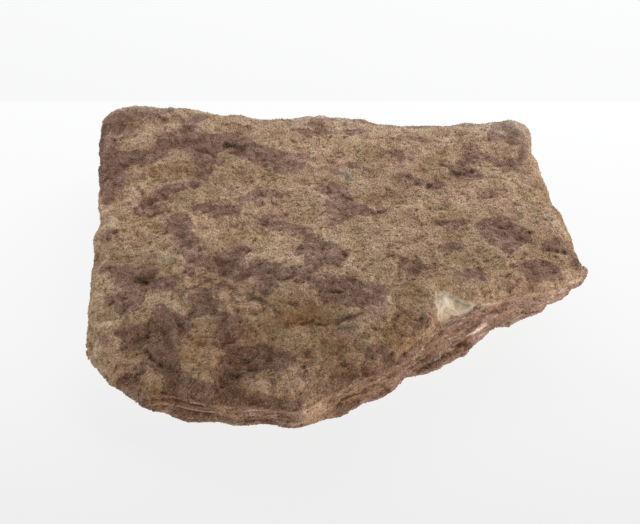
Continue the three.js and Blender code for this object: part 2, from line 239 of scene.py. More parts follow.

# Nearly black painted shade in the hollows and creases
SHADED_HOLLOWS = [
    ([(-54.6, 34.4, 0.7)], 1),
    ([(-52.7, 35.4, 1)], 0.6),
    ([(-33, 31, 0.8), (-30.6, 30.5, 1), (-28.1, 27.9, 1)], 0.85),
    ([(-25.7, 33.5, 0.7), (-23.5, 32.6, 0.6), (-21.1, 31.6, 0.6)], 0.8),
    ([(-18.7, 25.9, 0.3), (-15.7, 26.1, 0.4), (-12.6, 25.3, 0.4)], 0.55),
    ([(-11.5, 24, 0.3), (-8.5, 23.3, 0.3)], 0.6),
    ([(-41.6, 25.8, 0.7), (-39.7, 26.9, 0.7)], 0.5),
    ([(-33.5, -1.9, 1.3), (-31.9, -4.3, 1.3), (-33.4, -5.3, 0.7)], 0.6),
    ([(-37.7, -0.3, 0.7)], 0.7),
    ([(-24.5, -9.9, 1.3), (-22.6, -10.9, 1.3)], 0.5),
    ([(-21.4, -7.5, 1), (-19.5, -7.5, 1)], 0.55),
    ([(-14.6, -12.7, 1.3), (-13.2, -14.5, 1.3), (-11.6, -13.5, 0.8)], 0.6),
    ([(-12.1, -18.8, 0.5)], 0.8),
    ([(-9, -17.1, 0.3), (-7.7, -17, 0.4), (-5.9, -17.6, 0.4), (-4.7, -17.9, 0.3)], 0.9),
    ([(0, -21.7, 0.5), (1.3, -21.2, 0.8), (2.9, -21.6, 0.7), (4.2, -21.8, 0.3)], 0.95),
    ([(3.1, -19.1, 0.3), (4.9, -19, 0.4), (6.7, -18.4, 0.3)], 0.8),
    ([(3.9, 5.6, 1.2)], 0.5),
    ([(12.6, 5.5, 0.3), (14.7, 5.7, 0.3)], 0.7),
    ([(2.8, -29.2, 0.8), (4.5, -28.6, 1), (6.5, -28.8, 1), (8, -28, 0.7)], 0.75),
    ([(-5.1, -28.4, 0.4), (-3.1, -28.7, 0.7), (-1.4, -28.9, 0.7), (0.2, -29.4, 0.5)], 0.7),
    ([(-18, -22.5, 0.3), (-16.6, -21.5, 0.7), (-14.8, -21.7, 0.8), (-13.3, -23.3, 1), (-12, -24.4, 0.7),
      (-10.6, -25.9, 0.5), (-9.5, -26.8, 0.3)], 0.75),
    ([(-10, -23, 0.3), (-8.5, -22.9, 0.3), (-7.1, -23.5, 0.4), (-6, -23.9, 0.3)], 0.8),
    ([(-4.2, -23.9, 0.3), (-0.9, -24.9, 0.3), (1.7, -24.8, 0.3)], 0.55),
    ([(-42.9, -13.1, 1), (-41.2, -13.6, 1.2), (-40.1, -12.9, 0.8)], 0.85),
    ([(-35.6, -28.6, 0.8)], 0.8),
    ([(-31.9, -27.2, 1)], 0.5),
    ([(-40.6, -30.3, 1.3), (-40.8, -31.9, 1), (-39.4, -29.3, 1)], 0.7),
    ([(-37.3, -35.6, 1), (-35.5, -36.2, 1.3), (-33.6, -37.5, 1)], 0.55),
    ([(-43.4, -38.9, 0.4), (-41.4, -39, 0.4), (-40, -39.1, 0.3)], 0.8),
    ([(-39.3, -38.1, 0.7)], 0.7),
    ([(-17, -37.3, 0.7), (-15.9, -37.6, 0.7)], 0.6),
    ([(-15, -39.7, 0.5), (-13.7, -39.6, 0.5)], 0.85),
    ([(-19.6, -41.2, 1), (-18.5, -41.4, 0.8)], 0.9),
    ([(-21.7, -42.6, 1.3), (-20.9, -41.3, 1.3)], 0.45),
    ([(-14.3, -47.4, 0.4), (-12.1, -47.9, 0.4)], 0.6),
    ([(4.1, -41, 0.7)], 0.6),
    ([(38.9, 0.6, 0.7), (40.2, 1.3, 0.5)], 0.7),
    ([(45.7, -4.1, 0.4), (46.7, -5, 0.3)], 0.8),
    ([(52.5, -8.2, 0.4), (53.9, -6.4, 0.4)], 0.35),
    ([(56.1, -8, 0.7)], 0.4),
    ([(47.2, -17, 0.5), (51, -15.8, 0.7)], 0.5),
    ([(47.8, -18.8, 0.5)], 0.8),
    ([(34.9, 21.4, 0.4), (36.9, 21.2, 0.3), (38, 18.4, 0.5)], 0.4),
    ([(33.4, 21.9, 0.5)], 0.3),
    ([(22.3, 35.3, 0.4), (23.6, 34.3, 0.4)], 0.6),
    ([(18.6, 28.7, 0.5)], 0.6),
    ([(14.1, 26.4, 0.3), (16.4, 25.8, 0.3)], 0.8),
    ([(19.4, 15.9, 0.3), (21.9, 15.5, 0.3)], 0.7),
    ([(29.7, 23.5, 0.3), (32, 23.5, 0.3)], 0.5),
    ([(29.8, -7.6, 0.7), (28.5, -9.2, 0.4)], 0.5),
    ([(16.6, -38.6, 0.5)], 0.6),
    ([(-18.7, -22.7, 0.3)], 0.6),
    ([(39, -21.4, 0.3), (42, -20.3, 0.3)], 0.4),
    ([(45.4, -19.6, 0.5)], 0.5),
    ([(-35.1, -15.5, 0.3), (-37.4, -16.3, 0.3)], 0.4),
    ([(-26.6, -19.2, 0.7)], 0.45),
]

# Rusty and ochre warmth
RUST = [
    ([(-42.5, 21, 2), (-38.5, 22, 2.3), (-35, 23, 2)], 0.55),
    ([(-44.5, 14, 2)], 0.6),
    ([(-31.5, -34.5, 1.7), (-30, -36, 1.3)], 1),
    ([(-29, -31, 1.7), (-27, -32, 2), (-29, -32.5, 1.7)], 0.8),
    ([(-28, -36, 2.7), (-25.5, -38.5, 2.7)], 0.5),
    ([(-8.5, -27.5, 2.3), (-6.5, -27, 2.7), (-3.5, -26, 2.3)], 0.85),
    ([(-1.5, -27.5, 2)], 0.5),
    ([(-27, -1.5, 2.7), (-25.5, -3, 2.3)], 0.45),
    ([(-11.5, 4.5, 1.3)], 0.6),
    ([(28, 27.5, 2), (29.5, 29, 1.7)], 0.6),
    ([(8, -15, 1.7), (9, -14, 1.3)], 0.5),
    ([(-37.5, -43.5, 1.3), (-35, -42.5, 1.3), (-32.5, -42.5, 1)], 0.9),
    ([(-29.5, -28.5, 2), (-26, -28, 2)], 0.45),
    ([(-46.5, -31, 1.7), (-47, -32.5, 1.7)], 0.4),
    ([(54, 11, 1.3), (52.5, 7.5, 1.3)], 0.45),
    ([(55.5, -17, 1.3)], 0.5),
    ([(14.5, -32, 2.7), (16, -35, 2.7)], 0.35),
    ([(3.5, -37, 2.7), (1, -38, 2.3)], 0.35),
    ([(-12, 36.5, 1)], 0.45),
    ([(24.5, -29, 1)], 0.8),
    ([(-9.5, -37, 1.7)], 0.4),
    ([(5.5, -38, 2)], 0.4),
]

# Grey-green patches, partly their own colour and partly painted soft shade round the shaded creases
GREY_GREEN_PATCHES = [
    ([(3, -30.5, 1), (5, -31.5, 1.2), (7, -30.5, 1)], 0.65),
    ([(-2.5, -19, 1), (-2, -21, 1)], 0.6),
    ([(4, 5.5, 1.3)], 0.6),
    ([(5, 19.5, 1.3), (6.5, 17, 1.3), (6, 21.5, 0.7)], 0.8),
    ([(19.5, 35.5, 0.4), (19, 31, 0.4)], 1),
    ([(-33, -2, 1.7), (-32, -4.5, 1.7)], 0.6),
    ([(-24, -10.5, 1.7), (-22, -10, 1.3)], 0.6),
    ([(-14, -13.5, 1.7), (-13, -15, 1.3)], 0.6),
    ([(-2.5, -18, 1), (-1, -20, 1.3)], 0.6),
    ([(37.5, -1, 0.8), (39.5, -1, 0.8), (41.5, 0, 0.8)], 0.7),
    ([(56, -8, 0.7)], 0.6),
    ([(48.5, 36, 1), (50, 35, 1), (48.5, 38.5, 0.8)], 0.7),
    ([(-24.5, 27.5, 1.3), (-22.5, 27, 1.3)], 0.6),
    ([(-35.5, -9.5, 1.7), (-37, -9, 1.3)], 0.5),
    ([(-45.5, -4, 1.3)], 0.35),
    ([(-40.5, -30, 1.3), (-41, -32, 1)], 0.6),
    ([(-15.5, -46.5, 1.3), (-14.5, -47, 1.3)], 0.6),
    ([(-15.5, -42, 1)], 0.5),
    ([(-16.5, 45.5, 0.7), (-14, 45, 0.7)], 0.6),
    ([(-4.5, 5, 1.3)], 0.35),
    ([(-11, 0, 1)], 0.5),
    ([(-47, -14.5, 1)], 0.4),
    ([(4.5, -32, 1.3), (6.5, -33, 1.3)], 0.5),
    ([(-47, -17, 1)], 0.3),
    ([(4.5, -27, 1.7), (6, -26.5, 1.3)], 0.35),
]

# Bleached, paler sand
PALE = [
    ([(-6.2, 41.7, 2.7), (9.8, 44.2, 2.7), (28.4, 42.1, 2.7), (46.2, 36.6, 2.7), (54.2, 37.3, 2.3)], 0.35),
    ([(-51.3, 39.7, 0.4), (-49, 40.9, 0.6), (-46.3, 40.9, 0.6), (-44.1, 40.3, 0.4)], 0.6),
    ([(-49.3, 30.2, 1.2), (-48.7, 33.9, 1.7), (-46.5, 35.9, 1.3), (-43.3, 37.5, 1), (-39.9, 39.3, 1.3),
      (-36.4, 41.5, 1.3)], 0.5),
    ([(-45.8, 33.7, 0.5), (-44.6, 34.3, 0.5)], 0.8),
    ([(-41.5, 36.3, 0.5)], 1),
    ([(-30.1, 41.5, 1.3), (-26.1, 40.8, 1.3), (-22.1, 41, 1)], 0.35),
    ([(-6.2, 39.9, 1.3), (-8.8, 41.2, 1)], 0.3),
    ([(18.8, 37.9, 0.3), (22, 38, 0.3)], 1),
    ([(0.3, -4, 1.3), (1.9, -5.3, 1.7), (3.7, -5.3, 1.3)], 0.55),
    ([(-13.9, -1.5, 0.3), (-11.5, -1.5, 0.4), (-8, -2.1, 0.3)], 0.45),
    ([(4, 15.7, 0.5)], 0.9),
    ([(42.6, 24, 0.4)], 0.9),
    ([(47, 26.4, 0.4)], 0.9),
    ([(-50.9, -30.2, 0.8), (-50.5, -29.3, 0.7), (-50.3, -32.1, 0.7)], 1),
    ([(-43, -34.3, 1), (-43.9, -35.4, 1)], 0.5),
    ([(-47.9, -29, 0.4), (-45.6, -29, 0.4)], 0.5),
    ([(-5.6, -36.3, 0.7)], 1),
    ([(-17.2, -27.3, 0.5)], 0.6),
    ([(-38.9, -24.6, 0.7)], 0.6),
    ([(-27.5, -25.9, 0.7), (-26.1, -26.2, 0.5)], 0.5),
    ([(-34.3, -24.3, 0.4)], 0.6),
    ([(-29.4, -41.1, 0.5), (-29.2, -40.2, 0.3)], 0.8),
    ([(-14.8, -20.3, 0.5)], 0.7),
    ([(1.6, 15.3, 0.5)], 0.5),
    ([(-18.1, -44.2, 1.3), (-16.7, -43.7, 1)], 0.45),
    ([(-13, -46, 2), (-10.3, -45.7, 1.7)], 0.25),
    ([(-53.3, 8.1, 1.7), (-51.1, 4.3, 1.7), (-53, 10.7, 1.3)], 0.4),
    ([(-33.6, 8.2, 1.7), (-35.2, 6.7, 1.3)], 0.4),
    ([(-21, 4.2, 1.3), (-18.8, 3, 1.3)], 0.35),
    ([(26.6, -24.6, 2.3), (29, -23.1, 2)], 0.3),
    ([(37.5, -18.9, 1.3)], 0.25),
    ([(55, 0.9, 1), (56.5, -1.2, 1.3), (57.3, -3.6, 1)], 0.6),
    ([(53.4, 3.1, 1.3)], 0.35),
    ([(46.6, 31.4, 1), (44.3, 31.4, 1)], 0.4),
    ([(49.6, 27, 0.8), (48.4, 29.4, 0.8)], 0.5),
    ([(34, 28.9, 1.3), (35.5, 28.9, 1)], 0.35),
    ([(-8.7, -20.7, 1.7)], 0.25),
]

# Rounded rims that are worn like the top, as (x, y, z, half width) and a strength
WORN_RIMS = [
    ([(-54.3, 11, 14.9, 2.7), (-54.9, 5.3, 13.4, 3.1), (-54.7, -1, 12.5, 3.1), (-54.3, -7.1, 11.8, 3.1),
      (-53.5, -14.8, 10.9, 3.1), (-53.2, -21.6, 9.9, 3.1), (-52.5, -26.3, 8.3, 2.7), (-51, -30.7, 7.5, 2.3),
      (-49.4, -34.3, 7.6, 1.75)], 1),
    ([(-48.4, -36.5, 7.4, 1.35), (-46.4, -38.4, 7.4, 1.35), (-44.5, -39.8, 7.3, 0.95)], 0.8),
    ([(53.5, 31.7, 16.9, 1.9), (53.8, 21.3, 17.1, 1.9), (54.7, 15.2, 16.4, 1.9), (55.9, 8.9, 16.2, 1.9),
      (56.2, 0, 17.1, 1.75), (57.3, -4.9, 16.5, 1.55), (58.5, -9.3, 16, 1.15)], 1),
    ([(-58.2, 45.7, 17.1, 1.35), (-46.1, 44.1, 19.6, 1.35), (-32.9, 44.1, 18.6, 1.35),
      (-19.7, 45.3, 16.1, 1.35), (-6.2, 42.1, 18.4, 1.35), (7.1, 41.7, 18, 1.35), (20.3, 40.3, 17.4, 1.35),
      (33.5, 40.2, 17.8, 1.35), (46.7, 40.5, 18.4, 1.35), (52.5, 42.6, 16.7, 1.35)], 0.9),
    ([(33.9, -24.2, 16.3, 0.6), (36.7, -23.7, 16.1, 0.65), (39, -23, 15.8, 0.65), (41.3, -22.4, 15.8, 0.65),
      (43.6, -21.7, 15.7, 0.65), (46.4, -20.8, 15.8, 0.6), (49.3, -20.5, 16.4, 0.6),
      (51.8, -19.8, 16.7, 0.6)], 1),
    ([(-17.6, -47.2, 9.9, 0.75), (-14.3, -47.4, 10.2, 0.75), (-8.2, -48.4, 11, 0.6),
      (-5.1, -48, 11.5, 0.75), (-2.6, -47.8, 11.9, 0.75)], 0.7),
    ([(-37.3, -42.8, 6.6, 1.35), (-32.6, -43, 6.1, 1.55), (-27.5, -44.5, 6.6, 1.55),
      (-23, -46.8, 8.1, 1.55), (-17.7, -47.5, 8.3, 1.55), (-11.3, -48.8, 9.6, 1.55),
      (-5.5, -49.6, 10.6, 1.35)], 0.7),
]

# Shaded recesses of the broken sides
RECESSES = [
    ([(2.2, -45.8, 7.6, 0.6), (4.4, -44.6, 7.5, 0.85), (6.8, -43, 7.2, 0.75), (8.9, -42.3, 8.3, 0.65)], 1),
    ([(9.8, -41.6, 7.1, 0.75), (12, -40.5, 7.5, 0.95), (13.7, -39.3, 4.7, 0.75),
      (11.6, -40.7, 5, 0.75)], 0.8),
    ([(21.8, -32.3, 11.1, 0.6), (23.4, -30.9, 11.6, 0.6), (25.4, -29.6, 12, 0.6)], 0.6),
    ([(29.4, -27.9, 6.4, 0.6), (30.8, -27.1, 6.5, 0.75), (32.2, -25.6, 5.2, 0.65)], 1),
    ([(22.1, -33.4, 5.8, 0.4), (24.9, -31.7, 6, 0.5), (28, -29.2, 5.5, 0.4)], 0.7),
    ([(21.8, -32.4, 7.9, 0.6), (23.8, -31.3, 8.1, 0.6)], 0.4),
]

# Paler buff beds of the broken sides, partly their own colour and partly painted light on ledges and on the
# front strip that faces away from the lamps
BUFF_LIT_BEDS = [
    ([(-21.8, -46.2, 5.1, 1.35), (-17.7, -47.8, 7, 1.55), (-13.1, -48, 7.4, 1.55), (-8.2, -49, 8.9, 1.35),
      (-4.4, -49.6, 10.3, 1.15)], 0.2),
    ([(-9.4, -48.3, 4.6, 0.4), (-6.8, -48.7, 4.8, 0.4), (-4.5, -48.2, 5.5, 0.6), (-2.4, -47.3, 6.1, 0.6),
      (-0.1, -46.9, 7.7, 0.5)], 0.75),
    ([(-4.4, -48.6, 11.3, 0.5), (-4.3, -49, 9.4, 0.6)], 0.8),
    ([(-10.2, -47.9, 5.5, 0.3), (-7.2, -48.7, 5.5, 0.3)], 0.5),
    ([(-0.5, -47.3, 8.8, 0.4), (1.8, -45.7, 8.4, 0.4), (3.9, -44.2, 8.6, 0.4), (5.9, -43.2, 9, 0.4),
      (7.6, -42.4, 9.4, 0.4), (9.7, -41.8, 9.7, 0.45), (11.4, -41.1, 10.1, 0.5), (12.9, -40.4, 11.1, 0.55),
      (14.7, -39.3, 11.4, 0.6), (16, -39.9, 13.9, 0.6), (17.9, -36.2, 10.6, 0.6)], 0.5),
    ([(19.2, -35.1, 10.7, 0.45), (20.6, -33.7, 11.1, 0.4), (21.8, -32.2, 11.4, 0.4),
      (22.7, -33.3, 15.2, 0.35)], 0.6),
    ([(14.9, -39.3, 10.5, 0.5), (17.2, -37.1, 10, 0.5)], 0.35),
    ([(-37.6, -43.3, 3.2, 0.4), (-34.4, -43.5, 3, 0.4), (-31.4, -42.4, 1.3, 0.4)], 0.4),
]

# Flat shelves that belong to the broken sides
SHELVES = [
    ([(25.4, -29.6, 12.5, 0.65), (27.3, -28.5, 11.9, 0.95), (29.2, -27.3, 11.6, 1.05),
      (31.3, -26.3, 11.6, 1.05), (33.5, -25.2, 11.3, 0.85), (36, -23.4, 10.6, 0.65)], 1),
    ([(-37.4, -43.1, 5.6, 0.4), (-35.2, -43.5, 5.5, 0.4)], 0.3),
]

# Pale worn edges and ledges of the broken sides, partly real wear and partly painted highlight where they catch
# the light
WORN_HIGHLIT_EDGES = [
    ([(1.8, -45.7, 8.4, 0.15), (3.9, -44.1, 8.8, 0.15), (5.9, -43.1, 9.2, 0.15)], 0.7),
    ([(19.2, -35.2, 10.5, 0.3), (20.6, -33.8, 10.9, 0.25), (21.6, -32.5, 11.1, 0.25),
      (22.1, -33.8, 14.4, 0.25), (23, -32.9, 15.3, 0.2), (24.4, -31, 15.5, 0.25), (26.3, -29.3, 15.3, 0.25),
      (28, -27.7, 14.9, 0.25), (29.4, -26.5, 14.9, 0.25)], 0.9),
    ([(27.4, -26.9, 15.3, 0.1), (29, -25.9, 15.5, 0.15), (30.9, -24.2, 15.7, 0.1)], 0.9),
    ([(34.4, -24.2, 16, 0.25), (36.2, -23.9, 16, 0.25), (39.4, -21.4, 13.8, 0.2)], 0.7),
    ([(44.8, -19.8, 10.9, 0.2), (47, -18.9, 10.4, 0.25), (49.5, -18, 10.1, 0.25), (50.4, -19.1, 11.8, 0.25),
      (51.6, -18.7, 13.1, 0.3), (52.7, -20.2, 16.2, 0.3), (55, -19.2, 16.7, 0.25)], 0.85),
    ([(31.8, -26.5, 8.8, 0.4), (33.6, -23.7, 6.8, 0.6), (35, -22.9, 7, 0.65), (36.4, -22.6, 7.7, 0.6),
      (37.8, -21.8, 7.5, 0.5), (39.1, -21.9, 6.8, 0.25)], 1),
    ([(38.3, -22.2, 8.9, 0.15), (40, -20.5, 7.7, 0.15)], 0.7),
    ([(39.9, -21.7, 9.6, 0.15), (42, -19.2, 7.7, 0.15), (43.5, -18.3, 7.8, 0.15),
      (45.2, -17.7, 8.2, 0.1)], 0.6),
    ([(52.7, -19.6, 17.1, 0.3), (54.6, -18.7, 17.5, 0.4), (56.5, -18.2, 17.3, 0.4),
      (57.8, -16.8, 17.2, 0.3)], 0.6),
    ([(58.9, -10.6, 16, 0.2), (58.3, -14.6, 17.2, 0.2), (57.8, -16.8, 17.2, 0.2)], 0.6),
    ([(-16.9, -47.5, 8, 0.15), (-14.3, -47.7, 8.5, 0.2), (-11.7, -48.7, 9.9, 0.15)], 0.9),
    ([(-10, -47.9, 5.5, 0.1), (-8.5, -48.5, 5.5, 0.15), (-6.8, -48.7, 4.8, 0.15)], 0.6),
    ([(-4.2, -48.7, 11.2, 0.15), (-4.3, -49, 9.2, 0.2), (-3.9, -47.8, 5.9, 0.15)], 0.9),
    ([(-0.9, -47.7, 9.9, 0.1), (-2, -48.2, 10, 0.15), (-3.2, -48.7, 9.7, 0.15)], 0.6),
    ([(-7.3, -48.7, 4.8, 0.15), (-5.1, -48.4, 5.1, 0.15), (-3.9, -47.9, 5.5, 0.15)], 0.5),
    ([(-38.9, -42.6, 7.7, 0.2), (-37.6, -43, 7.8, 0.2), (-36.3, -42.9, 7.9, 0.15)], 0.8),
    ([(-41.7, -41.5, 7.3, 0.15), (-40, -42.4, 7.4, 0.15)], 0.6),
    ([(-51.1, -28.4, 7.9, 0.4), (-50.7, -30, 7.7, 0.6), (-50.1, -32.1, 7.7, 0.6)], 1),
    ([(-52.6, -25.9, 8.5, 0.4), (-51.8, -28.1, 7.9, 0.4)], 0.5),
    ([(-48.5, -35.7, 7.8, 0.4), (-46.4, -38.2, 7.4, 0.4), (-44.5, -39.8, 7.3, 0.3)], 0.45),
]

# Crevices between the beds of the broken sides, darkened with painted shade
CREVICES = [
    ([(22.5, -31.5, 11.5, 0.2), (23.8, -30.5, 11.8, 0.2), (24.9, -29.8, 12.5, 0.2)], 0.8),
    ([(25.4, -29.6, 12, 0.4), (25.9, -29.4, 12.5, 0.35)], 0.85),
    ([(24.6, -31.2, 15.3, 0.15), (26, -30.3, 15.4, 0.15), (27.4, -29.1, 15.3, 0.15),
      (29.2, -27.4, 14.8, 0.15)], 0.6),
    ([(26.9, -29.6, 15.3, 0.15), (28.3, -27.7, 12, 0.15)], 0.55),
    ([(28.5, -27.9, 11.6, 0.15), (30.6, -27.2, 10.5, 0.15), (31.9, -26.3, 10.2, 0.15),
      (33.1, -25.6, 10.1, 0.1)], 0.7),
    ([(33.7, -25.1, 11.3, 0.15), (35.5, -23.8, 10.5, 0.15), (37.5, -23, 9.4, 0.15)], 0.5),
    ([(34, -25.3, 15, 0.15), (36.2, -22.7, 13.2, 0.15), (38.4, -21.9, 12.4, 0.15)], 0.55),
    ([(31.2, -26, 15, 0.15), (33, -25.9, 15.2, 0.15)], 0.5),
    ([(36.7, -23.3, 9.7, 0.15), (38.2, -22.4, 9.8, 0.15)], 0.4),
    ([(29.9, -27.7, 6.4, 0.45), (30.8, -27.1, 6.5, 0.6), (31.9, -25.7, 5.3, 0.55),
      (31.6, -26.8, 5.1, 0.4)], 1),
    ([(29.2, -28.3, 8.5, 0.15), (28.2, -29, 8.2, 0.15)], 0.5),
    ([(32.7, -25.3, 5.2, 0.3), (33.9, -24.6, 4.7, 0.25)], 0.45),
    ([(26.5, -30.3, 6.8, 0.25), (28.7, -29.1, 5.4, 0.3)], 1),
    ([(41.1, -21.2, 11.4, 0.25)], 0.9),
    ([(37.3, -22.4, 11.6, 0.15), (38.9, -22.1, 10.1, 0.15)], 0.4),
    ([(45.9, -16.9, 7, 0.15), (47.8, -16.6, 7, 0.15), (49.2, -16.4, 7.5, 0.1)], 0.6),
    ([(48.2, -16.6, 5.3, 0.2), (50.3, -15.6, 5.3, 0.2)], 0.4),
    ([(22.1, -33.6, 5.7, 0.25), (23.4, -32.6, 5.9, 0.3), (24.9, -31.7, 6, 0.35), (26.3, -30.4, 5.8, 0.3),
      (28, -29.2, 5.5, 0.25)], 1),
    ([(18.6, -35, 6.6, 0.15), (19.8, -34.2, 6.7, 0.2), (21.1, -33.3, 7.1, 0.2), (22, -32.7, 7.4, 0.2),
      (23.4, -31.9, 7.5, 0.15)], 0.85),
    ([(2.3, -45.1, 6.2, 0.6), (3.7, -45, 7.6, 0.85), (5.4, -44, 7.7, 0.75), (7.2, -43.1, 7.6, 0.6)], 0.95),
    ([(8, -42.7, 8.5, 0.2), (9.7, -42.2, 9.1, 0.2), (11.4, -41.6, 9.4, 0.2)], 0.6),
    ([(12, -40.5, 7.5, 0.25)], 0.6),
    ([(13.9, -39.4, 4.5, 0.25), (13, -40.5, 4.1, 0.2)], 0.5),
    ([(8.7, -42.4, 8.7, 0.25), (10.7, -41, 5.6, 0.2)], 0.4),
    ([(17.1, -36.4, 5.5, 0.2), (18.4, -35.5, 5.3, 0.15)], 0.5),
    ([(-20.9, -47.4, 7.6, 0.15), (-19.8, -47.5, 8, 0.2), (-18.5, -47.6, 8.8, 0.15)], 0.95),
    ([(-20.7, -47.6, 6.7, 0.15), (-19.4, -47.8, 7, 0.15), (-18.2, -47.7, 7.2, 0.1)], 0.85),
    ([(-17.5, -47.8, 7, 0.15), (-16.3, -47.6, 7.5, 0.15), (-15, -47.6, 8.1, 0.15),
      (-13.1, -48, 8.3, 0.15)], 0.6),
    ([(-15.8, -47.2, 4, 0.15), (-13.7, -47.2, 4.2, 0.15), (-11.5, -47.3, 4.4, 0.15),
      (-9.8, -47.9, 5.5, 0.1)], 0.7),
    ([(-14.3, -47.6, 10.1, 0.25), (-12.8, -47.8, 10.3, 0.2)], 0.5),
    ([(-9.9, -49, 7.8, 0.15), (-8.4, -49.2, 8.4, 0.15)], 0.8),
    ([(-8.4, -49.3, 7.9, 0.2), (-6.8, -49.4, 8, 0.25), (-5.7, -49.3, 8.1, 0.2)], 0.95),
    ([(-5.1, -49.3, 7.9, 0.1), (-4.1, -48.9, 7.4, 0.1)], 0.4),
    ([(-3.8, -48.8, 9, 0.25), (-3.2, -48.6, 9.7, 0.25), (-2.2, -48.2, 9.8, 0.2),
      (-1.6, -47.9, 9.8, 0.1)], 0.9),
    ([(-2.6, -47.5, 5, 0.15), (-1.1, -46.9, 5.2, 0.2), (-0.1, -46.7, 6.2, 0.15),
      (0.8, -46.4, 6.6, 0.15)], 0.75),
    ([(-43.9, -38.8, 8.1, 0.15), (-42.1, -38.9, 8.5, 0.15), (-40.3, -39.2, 8.9, 0.15)], 0.6),
    ([(-39.3, -42.4, 6.3, 0.15), (-38, -43, 6.5, 0.2), (-36.7, -42.9, 6.7, 0.2), (-35.6, -42.7, 6.8, 0.2),
      (-34.5, -43.2, 8, 0.15)], 0.9),
    ([(-34.6, -43, 5.8, 0.15), (-33.1, -43.1, 5.9, 0.2), (-31.9, -43.1, 5, 0.2), (-30.6, -42.2, 3.1, 0.2),
      (-28.3, -43.7, 5.3, 0.2), (-27.1, -44.6, 6.7, 0.15)], 0.95),
    ([(-26.3, -43.2, 2.1, 0.15), (-23.9, -45.8, 6, 0.15)], 0.6),
    ([(-19.6, -47.1, 5.3, 0.15), (-17.3, -47.7, 6.7, 0.15), (-15.3, -47, 5.3, 0.15)], 0.85),
    ([(-13.1, -48, 7.4, 0.15), (-10.9, -48.6, 8.4, 0.15), (-9.1, -49, 8.5, 0.15)], 0.85),
    ([(-8, -49.5, 10.1, 0.15), (-5.9, -49.6, 10.6, 0.15), (-4.3, -49, 9.4, 0.15)], 0.85),
    ([(-25.8, -46, 8.4, 0.15), (-23.8, -46.6, 8.9, 0.15)], 0.5),
    ([(48.3, -20.7, 15.6, 0.25), (50, -20.5, 16.4, 0.2)], 0.4),
    ([(55, -17.6, 12.9, 0.2), (55.5, -19.5, 16, 0.2)], 0.4),
]

# Purple in the broken sides
PURPLE_BEDS = [
    ([(26, -30, 15.4, 0.4), (27.9, -28.5, 15, 0.75), (30.5, -26.3, 13.2, 0.95), (33.7, -24.2, 12.3, 1.15),
      (36.8, -22.7, 11.6, 0.95), (39.6, -21.5, 12.3, 0.95), (41.9, -20.5, 12.6, 0.75)], 0.85),
    ([(29.6, -27.6, 11.3, 0.75), (32.5, -26, 11, 0.75), (35, -24, 10.7, 0.6)], 0.75),
    ([(33.2, -24.8, 5.3, 0.4), (35.6, -23.4, 5.4, 0.5), (37.9, -22.5, 5.9, 0.5), (40.4, -21.3, 5.6, 0.4),
      (43.3, -19.6, 6.1, 0.4), (46.6, -16.7, 5.2, 0.4)], 0.6),
    ([(22, -32.3, 7.6, 0.6), (23.8, -31.5, 7.7, 0.6), (25.7, -30.6, 8, 0.4)], 0.55),
    ([(8.2, -42.4, 9.1, 0.6), (9.7, -42, 9.3, 0.6), (12, -40.5, 7.5, 0.75), (13.4, -39.3, 4.7, 0.6)], 0.85),
    ([(0.8, -45.9, 8.9, 0.75), (2.2, -45.1, 9.4, 0.95), (3.9, -43.8, 9.1, 0.75), (5.9, -43, 9.4, 0.4)], 0.8),
    ([(2.3, -45.4, 5.8, 0.6), (4.4, -43.9, 5.6, 0.6), (6, -42.7, 5.1, 0.6), (7.7, -42.1, 5.7, 0.75),
      (9.4, -41.8, 5, 0.6), (12.1, -40.6, 4.6, 0.6)], 0.85),
    ([(15.2, -39.6, 9.1, 0.6), (18.4, -35.2, 5.6, 0.6), (21.2, -34.1, 5.6, 0.6), (23.9, -33.2, 5.7, 0.5),
      (26.7, -31.5, 5.4, 0.5), (29.6, -29.3, 4.9, 0.5)], 0.7),
    ([(47.7, -19.3, 13.2, 0.6), (49.3, -20.6, 15.9, 0.6)], 0.5),
    ([(-11.3, -48.2, 10.5, 0.75), (-9.2, -48.9, 10.3, 0.95), (-6.7, -49.7, 10.4, 0.95),
      (-4.7, -49.1, 9.3, 0.6)], 0.8),
    ([(-32, -43.1, 5.9, 0.95), (-28.6, -44.3, 6.6, 1.15), (-25.3, -45.3, 6.9, 1.15),
      (-23.9, -45.8, 6, 0.75)], 0.8),
    ([(-42.9, -40.1, 7.6, 0.75), (-41.1, -40.5, 7.7, 0.75)], 0.9),
    ([(-41.4, -41.7, 7.3, 0.4), (-40.1, -42.1, 5.7, 0.4)], 0.5),
]

# Rust in the broken sides
RUSTY_BEDS = [
    ([(-38.2, -43.1, 5.6, 0.6), (-36.9, -43.6, 5.5, 0.75), (-35, -42.7, 3.8, 0.75),
      (-32.3, -42.7, 3, 0.6)], 1),
    ([(8.7, -41.9, 6.1, 0.75), (10.3, -41.2, 6.4, 0.6)], 0.6),
    ([(23.4, -33.7, 5.5, 0.6), (26.9, -31.4, 5.1, 0.6), (30.1, -29, 4.3, 0.6)], 0.3),
    ([(-3.5, -47.7, 5.9, 0.95), (-1.3, -47.8, 7.8, 0.75)], 0.5),
    ([(-17.7, -47.7, 7.5, 0.6), (-14.6, -47.8, 7.3, 0.6)], 0.4),
    ([(24.6, -28.2, 16.5, 0.3), (24.4, -30.3, 15.7, 0.3)], 0.9),
    ([(27.2, -27, 15.3, 0.15), (28.8, -25.9, 15.6, 0.15), (30.7, -24.5, 15.7, 0.15)], 0.9),
    ([(1.2, -46.3, 5.8, 0.3), (2.9, -45.2, 5.8, 0.3)], 0.5),
    ([(-21.1, -46.6, 5.1, 0.6), (-19.4, -47.3, 5.1, 0.6)], 0.4),
]

# The chip at the front right rim: its corners in plan, and how deep it is
CHIP = [(24.5, -21.5), (30.5, -21.8), (33.5, -24.5), (30, -28), (25, -30), (24.3, -26)]
CHIP_DEPTH = 0.7
CHIP_FLOOR = 14  # the shelf below the chip lies lower than this

